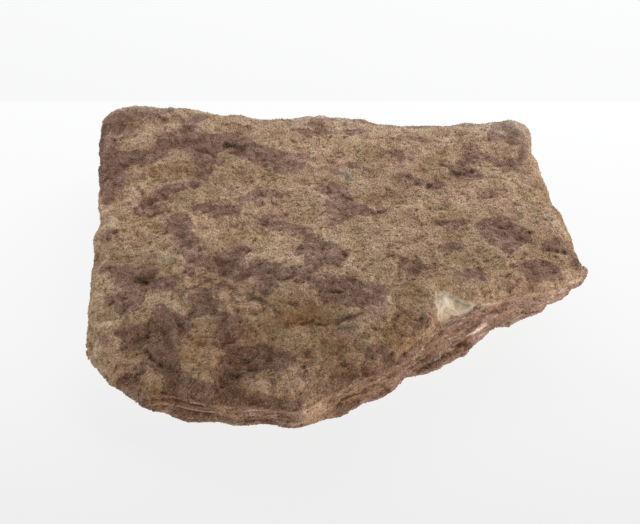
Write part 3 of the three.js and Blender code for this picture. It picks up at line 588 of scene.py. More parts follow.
# Where the broken sides bulge or stand back, as (x, y, reach, how far out), round the foot and round the rim
FOOT_BULGES = [
    (-51, -31, 3, 1.5), (-44, -37, 2.5, -1.0), (-38, -43, 4, 1.8), (-29, -45, 5.5, -3.6), (-19, -47, 4, 0.9),
    (-8, -48, 3.5, 1.1), (3.5, -45, 3, 0.9), (24, -32.5, 5, 2.4), (31, -27.5, 2, 0.8), (38, -21.5, 3, 1.6),
    (42, -18.5, 2.5, 2.2), (51, -13, 3, -1.6), (54, -11, 1.5, 1.2), (60, -7, 2, 1.2),
]
RIM_BULGES = [
    (-38, 50.5, 4, 1.6), (-23, 47, 5, 1.9), (-14, 45, 5, 1.9), (12, 44, 5, 1.3), (20, 42.5, 4, 1.3),
      (27, 42, 4, 2.2),
    (38, 42.5, 4, 1.6), (53, 44, 3, 0.9), (54, 39, 4, 0.7), (54, 26, 3, 0.8), (57, 9, 3.5, 1.4),
      (58, -5, 5, 0.9),
    (59.5, -11, 3, 0.9), (-60, 44, 3, 0.7), (-59, 36, 5, -1.0), (-54, 8, 3, -1.2), (-55, 2, 3, 0.6),
      (-53, -10, 4, 0.5),
    (-51, -36, 5, -1.2),
]
FOOT_HEIGHT, RIM_HEIGHT = 5, 10  # the foot's bulges are full below the one, and the rim's above the other

# Broad areas that are paler (above 0) or browner (below 0), as (x, y, z, reach, amount)
FADES = [
    (-20, -47.6, 6, 2.8, 0.7), (-14.5, -48.3, 5.5, 2.8, 0.8), (-9, -48, 5.8, 2.8, 0.7),
    (-10.3, -26.2, 15.3, 3.5, -0.45), (-33, -43, 6, 4, -0.4), (-20.8, -47, 9.2, 3, -0.85),
    (-15.5, -48.2, 9.5, 3, -0.9), (-11, -48.8, 9.8, 3, -0.9), (-48.3, -36.8, 7, 4, 0.85),
    (-50.6, -31, 7.6, 2.4, 1.5), (-55, 8, 15, 9, 1.2), (-43, 5, 17, 8, 1), (-28, 4, 17, 7, 1.1),
    (-55, 34, 15, 6, 0.6), (-54, -25, 14, 6, 1.1), (-10, -6, 17, 10, 0.8), (-23, -5, 17, 6, 0.4),
    (4, -14, 17, 6, 0.5), (-8, 26, 17, 8, 0.6), (-4, 44, 17, 6, 0.4), (6, 35, 17, 7, 0.5),
    (27, 36, 17, 7, 0.3), (44, 40, 17, 8, 0.5), (57, 37, 16, 5, 0.3), (25, 46, 16, 5, -0.5),
    (-25, 45, 17, 5, 0.5), (16, 38, 17, 7, 0.4), (-45, 24, 17, 6, -0.4), (-26, 24, 17, 6, -0.4),
    (-35, 14, 17, 6, -0.4), (-26, 35, 17, 5, -0.3), (-12, -26, 17, 7, -0.6), (-30, -35, 17, 7, -0.5),
    (-36, -44, 15, 5, -0.4), (0, -36, 17, 7, -0.4), (5, 4, 17, 5, -0.4), (35, -15, 17, 6, -0.4),
    (55, 18, 16, 6, -0.4), (24, 4, 17, 6, 0.5), (-36, -26, 17, 6, 1.1), (-34, -6, 17, 6, 0.6),
    (16, 14, 17, 5, -0.2), (44, 14, 17, 6, 0.5), (-23, -45, 15, 5, 0.7), (-6, 15, 17, 6, 0.4),
    (-57, 15, 14, 6, 1.2), (-51, -28, 8, 5, 1.2), (-53, -12, 11, 7, 0.9), (-47, -38, 7, 4, 1.2),
    (18, -31, 17, 5, -0.9), (3, 15, 17, 5, 0.7), (4, -5, 17, 6, 0.8), (34, 5, 17, 5, 0.6),
    (54, 35, 16, 5, -0.6), (-25, -26, 17, 5, 0.4), (-16, -48, 7, 5, 1.2), (-10, -47, 13, 6, 0.9),
    (-3, -48, 11, 4, 1.1), (29, -22, 17, 4, 0.6), (38, -23, 16, 4, 0.9), (52, -19, 15, 4, 1.2),
    (49, -17, 8, 3, 0.9), (23, -32, 12, 4, -0.9), (22, -35, 9, 4, -0.9), (31, -27, 7, 3, -1.2),
    (17, -34, 12, 3, -0.9), (12, -42, 10, 5, -1.2), (6, -44, 7, 4, -0.9), (35, -24, 6, 3, 1.1),
    (-21, -47, 9, 3, -0.6), (-23, -46, 5, 3, 0.8),
]

# ---------------------------------------------------------------- sizes
SKIN_CELL = 0.36  # cells of the stone's skin while it is carved
SKIN_TRIANGLES = 196_000  # what is kept of them
OUTWARD = 0.42  # how far the smoothed sides are let out again, to the width of the solid
HOLLOW_DEPTH = 0.35  # how deep a shaded hollow is
CREVICE_DEPTH = 0.5
RECESS_DEPTH = 0.5
LEDGE_HEIGHT = 0.28  # how far the worn edges stand out

# How far a mark fades out across its edge
SOFTNESS = {
    "blotch": 2.0, "hollow_shade": 1.6, "rust": 3.0, "grey": 2.0, "pale": 1.6, "hollow": 3.0, "bed": 1.2, "rim": 2.5,
    "fine": 0.55,
}

# Lumps of the worn surface: period and height of each size of lump
LUMPS = [(9.0, 0.4), (4.4, 0.34), (2.1, 0.2), (1.05, 0.08)]
SAND_ROUGHNESS = 0.035  # unevenness from one cell to the next

# Thin sheets of the top bed that have flaked off: thickness, and the spread of the flake edges
FLAKES = {"thickness": 0.42, "period": 17, "fray": 3.4, "edge": 0.2}

# Pits where sand has dropped out, as (how many, smallest and largest half width, depth as a share of that)
PITS = [(170, 0.7, 1.4, 0.32), (1100, 0.35, 0.7, 0.5)]

# Where the front is worn round: between which depths and heights it starts, its middle and half width across,
# how hard each round of smoothing pulls, and how many rounds there are
FRONT = {
    "starts": (-35, -40), "above": (0.5, 2.5), "middle": -11, "half_width": (15, 11),
    "pull": 0.6, "rounds": 28,
}
# Where the beds are worn faint at the front left, and how much of them is gone
FAINT = {"y": (-36, -42), "x": (2, -4), "share": 0.9}

FRONT_SHADE = {"middle": (-12, -44), "reach": (26, 17)}  # where the top is browner than elsewhere: painted shade where the front left falls away from the light
SHEEN_EDGE = (34, 50)  # from here to here across the top the painted sheen of glancing light gets stronger
SOAKED = (9, 14)  # between these heights the blotches give out as they run down over the rim

# The thin beds of the broken sides and the leaves that they split into: thickness, how far their height
# wanders and over what length, how far they stand out, and the three lengths over which that changes
BED = {
    "thickness": 1.3, "wander": 1.6, "wander_period": 17, "relief": 0.75,
    "long": 11, "middle": 4, "short": 1.6,
}
LEAF = {
    "thickness": 0.85, "wander": 1.2, "wander_period": 12, "relief": 0.26,
    "long": 5, "middle": 2.6, "short": 1.3,
}
BED_SHUFFLE = 31.7  # how far apart the noise of two beds is read

# ---------------------------------------------------------------- noise
SHUFFLE = np.random.default_rng(11).permutation(256)
DIRECTIONS = np.random.default_rng(12).standard_normal((256, 3))
DIRECTIONS /= np.linalg.norm(DIRECTIONS, axis=1)[:, None]
SEED_STEP = 13.7  # how far apart the noise of two seeds is read
OFF_CORNER = 0.37  # keeps the middle of the stone off a corner of the noise's cells
NOISE_GAIN = 1.7  # brings the noise up to about -1 to 1


def noise_at(points, period, seed=0):
    """Smooth noise, about -1 to 1, at points given in millimetres, that changes over the period."""
    scaled = points / period + SEED_STEP * seed + OFF_CORNER
    cell = np.floor(scaled).astype(np.int64)
    part = scaled - cell
    blend = part**3 * (part * (6 * part - 15) + 10)
    total = np.zeros(len(points))
    for corner in itertools.product((0, 1), repeat=3):
        at = cell + corner
        pick = SHUFFLE[(SHUFFLE[(SHUFFLE[at[:, 0] & 255] + at[:, 1]) & 255] + at[:, 2]) & 255]
        share = np.prod(np.where(corner, blend, 1 - blend), axis=1)
        total += share * np.einsum("ij,ij->i", DIRECTIONS[pick], part - corner)
    return NOISE_GAIN * total


def layered_noise(points, period, seed=0, layers=3, gain=0.5):
    """Several sizes of noise on top of each other, each half the size of the last."""
    return sum(gain**i * noise_at(points, period / 2**i, seed + 5 * i) for i in range(layers))


def smoothstep(low, high, value):
    share = np.clip((value - low) / (high - low), 0, 1)
    return share * share * (3 - 2 * share)


# ---------------------------------------------------------------- marks
def stroke_field(points, strokes, softness):
    """How strongly strokes cover each point, from 0 to 1: full inside a stroke, fading across its edge."""
    field = np.zeros(len(points))
    axes = len(strokes[0][0][0]) - 1
    places = points[:, :axes]
    for run, strength in strokes:
        knots = np.array(run, float)
        reach = knots[:, -1].max() + softness
        low, high = knots[:, :axes].min(axis=0) - reach, knots[:, :axes].max(axis=0) + reach
        near = np.flatnonzero(np.all((places > low) & (places < high), axis=1))
        ends = knots if len(knots) > 1 else np.vstack((knots, knots))
        for start, end in zip(ends, ends[1:]):
            along = (end - start)[:axes]
            offset = places[near] - start[:axes]
            share = np.clip(offset @ along / max(float(along @ along), 1e-9), 0, 1)
            gap = np.linalg.norm(offset - share[:, None] * along, axis=1)
            width = start[-1] + share * (end[-1] - start[-1])
            cover = 1 - smoothstep(0, 1, (gap - width) / softness + 0.5)
            field[near] = np.maximum(field[near], strength * cover)
    return field


def inside(plan, corners):
    """True for the plan points inside a ring of corners."""
    x, y = plan.T
    found = np.zeros(len(plan), bool)
    for (x0, y0), (x1, y1) in zip(corners, corners[1:] + corners[:1]):
        crosses = (y0 > y) != (y1 > y)
        found ^= crosses & (x < (x1 - x0) * (y - y0) / (y1 - y0 + 1e-12) + x0)
    return found


def swell(points, place, reach, amount):
    """A soft hill of an amount round a place, at points of as many axes."""
    gap = np.linalg.norm(points - place, axis=1)
    return amount * np.exp(-((gap / reach) ** 2))


# ---------------------------------------------------------------- the stone's skin
def read(items, key, width=1, kind=float):
    """One property of all points, edges, faces or corners of a mesh, as an array."""
    values = np.empty(len(items) * width, kind)
    items.foreach_get(key, values)
    return values.reshape(-1, width) if width > 1 else values


def read_points(mesh):
    return read(mesh.vertices, "co", 3) / MM


def write_points(mesh, points):
    mesh.vertices.foreach_set("co", (points * MM).ravel())
    mesh.update()


def merged_copy(node, name):
    """The CAD node's skin as one closed mesh of mostly four-sided faces."""
    skin = bmesh.new()
    skin.from_mesh(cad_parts[node].data)
    bmesh.ops.remove_doubles(skin, verts=skin.verts, dist=0.01 * MM)
    bmesh.ops.join_triangles(
        skin, faces=skin.faces, angle_face_threshold=math.radians(50), angle_shape_threshold=math.radians(60)
    )
    bmesh.ops.recalc_face_normals(skin, faces=skin.faces)
    mesh = bpy.data.meshes.new(name)
    skin.to_mesh(mesh)
    skin.free()
    return shown(name, mesh)


def shown(name, data):
    """A new object in the scene."""
    piece = bpy.data.objects.new(name, data)
    bpy.context.scene.collection.objects.link(piece)
    return piece


def apply_modifiers(piece):
    bpy.context.view_layer.update()
    result = piece.evaluated_get(bpy.context.evaluated_depsgraph_get())
    mesh = bpy.data.meshes.new_from_object(result)
    piece.modifiers.clear()
    old = piece.data
    piece.data = mesh
    bpy.data.meshes.remove(old)
    mesh.name = piece.name


def round_off(piece, levels):
    smoother = piece.modifiers.new("smooth", "SUBSURF")
    smoother.levels = levels
    smoother.render_levels = levels
    apply_modifiers(piece)


def cut_even_cells(piece, size):
    remesh = piece.modifiers.new("cells", "REMESH")
    remesh.mode = "VOXEL"
    remesh.voxel_size = size * MM
    apply_modifiers(piece)


def thin_out(piece, triangles):
    """Thins the mesh where it is flattest, which the modifier only judges well at the scale of millimetres."""
    piece.data.calc_loop_triangles()
    piece.data.transform(Matrix.Scale(1 / MM, 4))
    thin = piece.modifiers.new("thin", "DECIMATE")
    thin.ratio = triangles / len(piece.data.loop_triangles)
    apply_modifiers(piece)
    piece.data.transform(Matrix.Scale(MM, 4))


# ---------------------------------------------------------------- the stone's relief
def bed_relief(points, kind, seed):
    """How far beds of this kind stand out, about -1 to 1, stepped from one to the next; and the steps."""
    plan = points * (1, 1, 0)
    level = points[:, 2] + kind["wander"] * noise_at(plan, kind["wander_period"], seed + 1)
    level = level / kind["thickness"] + 0.7 * noise_at(points * (1, 1, 0.3), 6, seed + 2)
    level += 0.25 * noise_at(points, 2, seed + 8)
    bed = np.floor(level)
    into = level - bed

    def standing(index):
        spread = np.column_stack((points[:, 0], points[:, 1], BED_SHUFFLE * index))
        long = noise_at(spread, kind["long"], seed + 3)
        middle = noise_at(spread, kind["middle"], seed + 4)
        short = noise_at(spread, kind["short"], seed + 9)
        return long + 0.7 * middle + 0.3 * short

    lower, upper = standing(bed), standing(bed + 1)
    step = smoothstep(0.7, 0.98, into)
    return lower + (upper - lower) * step, step * (1 - smoothstep(0.9, 1.0, into))


def flaked(points):
    """The saw-toothed relief of flaked sheets: a gentle rise, then a sharp frayed drop of one sheet."""
    plan = points * (1, 1, 0)
    level = 2.6 * noise_at(plan, FLAKES["period"], 30) + 0.5 * noise_at(plan, FLAKES["fray"], 31)
    level += 0.25 * noise_at(plan, 1.3, 32)
    into = level - np.floor(level)
    return FLAKES["thickness"] * (into * (1 - smoothstep(1 - FLAKES["edge"], 1, into)) - 0.45)


def pitted(points, normals):
    """The depth of the pits at each point."""
    tree = KDTree(len(points))
    for index, place in enumerate(points):
        tree.insert(place, index)
    tree.balance()
    rng = np.random.default_rng(21)
    depth = np.zeros(len(points))
    for count, low, high, share in PITS:
        for centre in rng.choice(len(points), count, replace=False):
            reach = rng.uniform(low, high)
            weight = rng.uniform(0.5, 1)
            if normals[centre, 2] < -0.4:
                continue
            for _, index, gap in tree.find_range(points[centre], reach):
                depth[index] = max(depth[index], weight * share * reach * (1 - (gap / reach) ** 2))
    return depth


def bulged(points):
    """How far the sides bulge at each point, from the foot's bulges to the rim's."""
    plan = points[:, :2]
    foot = sum(swell(plan, place, reach, out) for *place, reach, out in FOOT_BULGES)
    rim = sum(swell(plan, place, reach, out) for *place, reach, out in RIM_BULGES)
    share = smoothstep(FOOT_HEIGHT, RIM_HEIGHT, points[:, 2])
    return (1 - share) * foot + share * rim


def relax(mesh, points, share, rounds):
    """The points drawn to the middle of their neighbours, round after round, by share."""
    ends = read(mesh.edges, "vertices", 2, np.int32)
    here, there = ends.T
    count = np.bincount(ends.ravel(), minlength=len(points))
    for _ in range(rounds):
        total = sum(
            np.transpose([np.bincount(at, points[other, axis], len(points)) for axis in range(3)])
            for at, other in ((here, there), (there, here))
        )
        points = points + (share / count)[:, None] * total - share[:, None] * points
    return points


def wear_front(mesh):
    """Wears the front round, and gives the points and how much each is worn."""
    points = read_points(mesh)
    worn = smoothstep(*FRONT["starts"], points[:, 1])
    worn *= smoothstep(*FRONT["half_width"], np.abs(points[:, 0] - FRONT["middle"]))
    share = FRONT["pull"] * worn * smoothstep(*FRONT["above"], points[:, 2])
    points = relax(mesh, points, share, FRONT["rounds"])
    write_points(mesh, points)
    return points, worn


def roughened(points, normals, side, under):
    """How far the worn surface rises or sinks at each point: lumps, flakes, pits and sand."""
    lumps = sum(
        height * noise_at(points * (1, 1, 1.7), period, 10 + i) for i, (period, height) in enumerate(LUMPS)
    )
    sand = SAND_ROUGHNESS * np.random.default_rng(7).standard_normal(len(points))
    open_top = (1 - side) * (1 - under)
    pits = pitted(points, normals) * (1 - 0.6 * side)
    rise = lumps * (1 - 0.7 * side) + flaked(points) * open_top - pits + sand
    return rise * (1 - 0.5 * under)


def carve(mesh):
    """Cuts the thin beds, the hollows and the chip, adds the lumps and the sand, and writes the masks."""
    points, worn_front = wear_front(mesh)
    normals = read(mesh.vertices, "normal", 3)
    plan = points * (1, 1, 0)
    top = smoothstep(0.2, 0.75, normals[:, 2])
    under = smoothstep(-0.3, -0.7, normals[:, 2])
    upright = smoothstep(0.35, 0.8, 1 - np.abs(normals[:, 2]))
    side = np.maximum(upright, stroke_field(points, SHELVES, SOFTNESS["bed"]))
    worn_rim = stroke_field(points, WORN_RIMS, SOFTNESS["rim"])
    recess = stroke_field(points, RECESSES, SOFTNESS["bed"])
    beds, seams = bed_relief(points, BED, 0)
    leaves, splits = bed_relief(points, LEAF, 50)

    rise = roughened(points, normals, side, under)
    faint = smoothstep(*FAINT["y"], points[:, 1]) * smoothstep(*FAINT["x"], points[:, 0])
    stepped = side * (1 - FAINT["share"] * np.maximum(worn_rim, faint)) * smoothstep(0.2, 1.5, points[:, 2])
    out = (BED["relief"] * beds + LEAF["relief"] * leaves) * stepped + (OUTWARD + bulged(points)) * side
    out -= RECESS_DEPTH * recess
    points += normals * rise[:, None] + normals * (1, 1, 0.15) * out[:, None]
    side *= 1 - 0.85 * np.maximum(worn_rim, 0.9 * worn_front)
    open_top = (1 - side) * (1 - under)

    fine = np.column_stack((noise_at(plan, 2.4, 22), noise_at(plan, 2.4, 23), np.zeros(len(points))))
    coarse = np.roll(noise_at(plan, 5, 20)[:, None] * (1, 1, 0), 1, axis=1)
    frayed = points + 0.35 * fine + 0.5 * coarse
    ragged = 2 * frayed - points
    hollow = top * stroke_field(frayed, SHADED_HOLLOWS, SOFTNESS["hollow"])
    crevice = stroke_field(points, CREVICES, SOFTNESS["fine"])
    # pale edges, partly wear and partly painted highlight
    worn_highlit_edge = stroke_field(points, WORN_HIGHLIT_EDGES, SOFTNESS["fine"])
    chipped = inside(ragged[:, :2], CHIP) * top * (points[:, 2] > CHIP_FLOOR)

    blotched = stroke_field(frayed, BLOTCHES, SOFTNESS["blotch"])
    purple_beds = np.clip(0.12 + 0.4 * beds, 0, 1)
    purple_beds = np.maximum(purple_beds, stroke_field(points, PURPLE_BEDS, SOFTNESS["bed"]))
    purple_beds = np.maximum(purple_beds, blotched * smoothstep(*SOAKED, points[:, 2]))
    purple_under = smoothstep(-0.1, 0.5, layered_noise(points, 15, 24))
    rust = stroke_field(frayed, RUST, SOFTNESS["rust"])
    rust = np.maximum(rust, stroke_field(points, RUSTY_BEDS, SOFTNESS["bed"]))
    # painted shade in the seams between beds, on the sides towards the back
    hidden = smoothstep(-12, 4, points[:, 1]) * side
    shaded_seams = hidden * np.maximum(0.8 * seams, 0.5 * splits)
    shaded_seams *= smoothstep(-0.3, 0.2, noise_at(points, 7, 61))
    pink_front = smoothstep(-6, 6, 0.6 * points[:, 0] - points[:, 1] - 18)
    pink_back = 0.6 * smoothstep(0.0, 0.4, noise_at(points * (1, 1, 2.5), 22, 25))
    pink_back *= smoothstep(-10, 20, points[:, 1])
    # painted shade: the front left is browner, where it falls away from the light
    browned = (points[:, :2] - FRONT_SHADE["middle"]) / FRONT_SHADE["reach"]
    fade = -np.exp(-np.sum(browned**2, axis=1)) * open_top
    for *place, reach, amount in FADES:
        fade += swell(points, place, reach, amount)
    smooth = np.maximum.reduce((0.7 * under, 0.5 * side, 0.97 * chipped))
    masks = {
        "stain": np.clip(open_top * blotched + side * purple_beds + 0.85 * under * purple_under, 0, 1),
        # painted shade in the hollows
        "hollow_shade": open_top * stroke_field(frayed, SHADED_HOLLOWS, SOFTNESS["hollow_shade"]),
        "rust": rust * (1 - under),
        "grey": open_top * stroke_field(frayed, GREY_GREEN_PATCHES, SOFTNESS["grey"]),
        "pale": open_top * stroke_field(frayed, PALE, SOFTNESS["pale"]),
        "worn": worn_highlit_edge,
        "crevice": np.maximum(crevice, shaded_seams),
        # partly painted light on the front strip and ledges
        "buff_lit": stroke_field(points, BUFF_LIT_BEDS, SOFTNESS["bed"]),
        "chip": chipped,
        "side": side,
        "pink": np.maximum(pink_front, pink_back),
        "paler": np.clip(0.75 * fade, 0, 1),
        "browned": np.clip(-fade, 0, 1),
        "recess": recess,
        # painted sheen of glancing light along the far edge
        "far_sheen": open_top * smoothstep(*SHEEN_EDGE, points[:, 1] + 0.12 * points[:, 0]),
        # the height of the worn surface, which the sand look turns into painted shade in hollows and painted
        # highlight on ridges
        "relief": np.clip(0.5 + 0.7 * (rise - HOLLOW_DEPTH * hollow), 0, 1),
        "grainy": (1 - smooth) * smoothstep(0.3, 0.7, points[:, 2]),
        "tone": np.full(len(points), 0.5),
    }
    for name, values in masks.items():
        layer = mesh.attributes.new(name, "FLOAT", "POINT")
        layer.data.foreach_set("value", values.astype(np.float32))

    points += normals * (1, 1, 0.2) * (LEDGE_HEIGHT * worn_highlit_edge - CREVICE_DEPTH * crevice)[:, None]
    points[:, 2] -= HOLLOW_DEPTH * hollow + CHIP_DEPTH * chipped
    points[:, 2] = np.maximum(points[:, 2], 0)
    write_points(mesh, points)


stone = merged_copy(STONE_NODE, "stone")
round_off(stone, 2)
cut_even_cells(stone, SKIN_CELL)
carve(stone.data)
thin_out(stone, SKIN_TRIANGLES)
for face in stone.data.polygons:
    face.use_smooth = True

# ---------------------------------------------------------------- the look of the sand
WHITE = (1.0, 1.0, 1.0)
# Colours of dry sand, as linear light
TAN_WARM = (0.40, 0.258, 0.168)
TAN_OLIVE = (0.37, 0.250, 0.148)
PURPLE = (0.258, 0.156, 0.114)
PURPLE_DEEP = (0.165, 0.087, 0.061)
# the painted shade of the hollows, nearly black
HOLLOW_SHADE = (0.066, 0.038, 0.021)
OCHRE = (0.33, 0.175, 0.078)
CREAM = (0.52, 0.41, 0.30)
BROKEN_PINK = (0.24, 0.148, 0.119)
BROKEN_BROWN = (0.30, 0.20, 0.14)
RIM_BUFF = (0.53, 0.41, 0.325)
CHIPPED = (0.55, 0.425, 0.315)
CHIPPED_GREY = (0.48, 0.39, 0.28)
# painted shade of crevices, splits and dark flecks
CREVICE_SHADE = (0.095, 0.05, 0.033)
# the pale painted sheen of the far edge
SHEEN_PALE = (0.50, 0.45, 0.38)
BROWN_SPECK = (0.20, 0.122, 0.066)
GREY_GREEN = (0.20, 0.17, 0.12)
# What the colour is multiplied by
# darkens and warms the browned areas; at the front left this is painted shade
BROWNED_TINGE = (0.81, 0.76, 0.68)
PALER_TINGE = (1.36, 1.40, 1.44)
# painted shade in the recesses of the broken sides
RECESS_SHADE = (0.56, 0.48, 0.42)
# painted shade in hollows and painted highlight on ridges, by the height of the surface
HOLLOW_PAINTED_SHADE = (0.79, 0.745, 0.69)
RIDGE_PAINTED_HIGHLIGHT = (1.11, 1.16, 1.21)
DARK_GRAIN_TINGE = (0.58, 0.50, 0.42)
LIGHT_GRAIN_TINGE = (1.24, 1.30, 1.36)

# How much a pattern is squeezed along each axis
SPECK_STRETCH = (0.55, 1.0, 1.0)  # specks, longer from side to side
FLECK_STRETCH = (0.7, 0.7, 1.4)  # flecks and small chips of the broken sides
LEAF_STRETCH = (0.5, 0.5, 7.0)  # splits between the leaves
LAMINA_STRETCH = (0.55, 0.55, 5.0)  # thin layers, long along the bedding

# Noise patterns: size in millimetres, detail, roughness
PATTERNS = {
    "grain": (0.42, 2, 0.6),
    # the pores darken the colour as painted shade between grains
    "shaded_pores": (0.85, 3, 0.7),
    "laminae": (4.0, 4, 0.62),
    "splits": (3.0, 3, 0.55),
    "fray": (1.5, 4, 0.7),
    "wander": (4.2, 3, 0.6),
    "mottle": (5.5, 5, 0.62),
    "bleach": (3.3, 4, 0.6),
    "olive": (8.0, 3, 0.5),
    "ochre": (2.6, 3, 0.5),
    "specks": (1.3, 3, 0.6),
    "deep purple": (2.2, 3, 0.5),
    "flecks": (1.9, 4, 0.72),
    "small chips": (1.4, 4, 0.72),
    "grey chip": (4.0, 2, 0.5),
}
# Where a pattern or a mask starts to show and where it is full, then how much it gives at each of the two
SHOWN = {
    "stain": (0.15, 0.55, 0.0, 1.0),
    "hollow_shade": (0.2, 0.95, 0.0, 0.78),
    "rust": (0.2, 0.9, 0.0, 0.6),
    "grey": (0.25, 0.8, 0.0, 0.7),
    "pale": (0.15, 0.9, 0.0, 0.6),
    "buff_lit": (0.1, 0.9, 0.0, 0.75),
    "worn": (0.25, 0.7, 0.0, 0.85),
    "crevice": (0.25, 0.7, 0.0, 0.9),
    "recess": (0.15, 0.9, 0.0, 1.0),
    "mottle": (0.55, 0.72, 0.0, 0.3),
    "bleach": (0.54, 0.72, 0.0, 0.25),
    "olive": (0.38, 0.62, 0.0, 1.0),
    "ochre": (0.56, 0.72, 0.0, 0.4),
    "specks": (0.56, 0.65, 0.0, 0.65),
    "deep purple": (0.4, 0.65, 0.0, 1.0),
    "flecks": (0.52, 0.62, 0.0, 0.7),
    "small chips": (0.44, 0.36, 0.0, 0.4),
    "grey chip": (0.42, 0.58, 0.0, 1.0),
    "purple laminae": (0.48, 0.36, 0.0, 0.4),
    "buff laminae": (0.56, 0.70, 0.0, 0.4),
    "splits": (0.42, 0.33, 0.0, 0.5),
    "relief": (0.1, 0.9, 0.0, 1.0),
    "dark grain": (0.06, 0.24, 0.0, 1.0),
    "light grain": (0.82, 0.98, 0.0, 1.0),
    "grain": (0.4, 0.72, 0.8, 1.25),
    "shaded_pores": (0.47, 0.33, 1.0, 0.5),
    "plain chip": (0.0, 1.0, 1.0, 0.25),
}
# How much of its colour each of these lays over the sand
COVER = {"broken": 0.92, "stain": 0.88, "sheen": 0.22}
BUMP = {"Strength": 0.8, "Distance": 0.2 * MM}


class Nodes:
    """Short calls for laying out a node tree."""

    def __init__(self, tree):
        self.tree = tree

    def add(self, kind, settings=None, **inputs):
        node = self.tree.nodes.new(kind)
        for key, value in (settings or {}).items():
            setattr(node, key, value)
        for key, value in inputs.items():
            self.set(node, key.replace("_", " "), value)
        return node

    def set(self, node, key, value):
        socket = node.inputs[int(key)] if key.isdigit() else node.inputs[key]
        if isinstance(value, bpy.types.NodeSocket):
            self.tree.links.new(value, socket)
        else:
            socket.default_value = value

    def math(self, operation, first, second):
        node = self.add("ShaderNodeMath", {"operation": operation})
        self.set(node, "0", first)
        self.set(node, "1", second)
        return node.outputs[0]

    def plus(self, first, second):
        return self.math("ADD", first, second)

    def times(self, first, second):
        return self.math("MULTIPLY", first, second)

    def most(self, first, second):
        return self.math("MAXIMUM", first, second)

    def stretched(self, place, amounts):
        node = self.add("ShaderNodeVectorMath", {"operation": "MULTIPLY"})
        self.set(node, "0", place)
        self.set(node, "1", amounts)
        return node.outputs["Vector"]

    def mask(self, name):
        return self.add("ShaderNodeAttribute", {"attribute_name": name}).outputs["Fac"]

    def between(self, value, low, high, to_low=0.0, to_high=1.0):
        node = self.add("ShaderNodeMapRange", {"interpolation_type": "SMOOTHSTEP"})
        limits = {"From Min": low, "From Max": high, "To Min": to_low, "To Max": to_high}
        for key, entry in {"Value": value, **limits}.items():
            self.set(node, key, entry)
        return node.outputs["Result"]

    def shown(self, name, value):
        return self.between(value, *SHOWN[name])

    def pattern(self, name, place):
        size, detail, roughness = PATTERNS[name]
        inputs = {"Vector": place, "Scale": 1 / (size * MM), "Detail": detail, "Roughness": roughness}
        return self.add("ShaderNodeTexNoise", **inputs).outputs["Fac"]

    def patches(self, name, place):
        return self.shown(name, self.pattern(name, place))

    def mix(self, share, first, second, blend="MIX"):
        node = self.add("ShaderNodeMix", {"data_type": "RGBA", "blend_type": blend})
        for index, entry in ((0, share), (6, first), (7, second)):
            self.set(node, str(index), (*entry, 1) if isinstance(entry, (tuple, list)) else entry)
        return node.outputs[2]

    def tinged(self, colour, share, tinge):
        return self.mix(1.0, colour, self.mix(share, WHITE, tinge), "MULTIPLY")


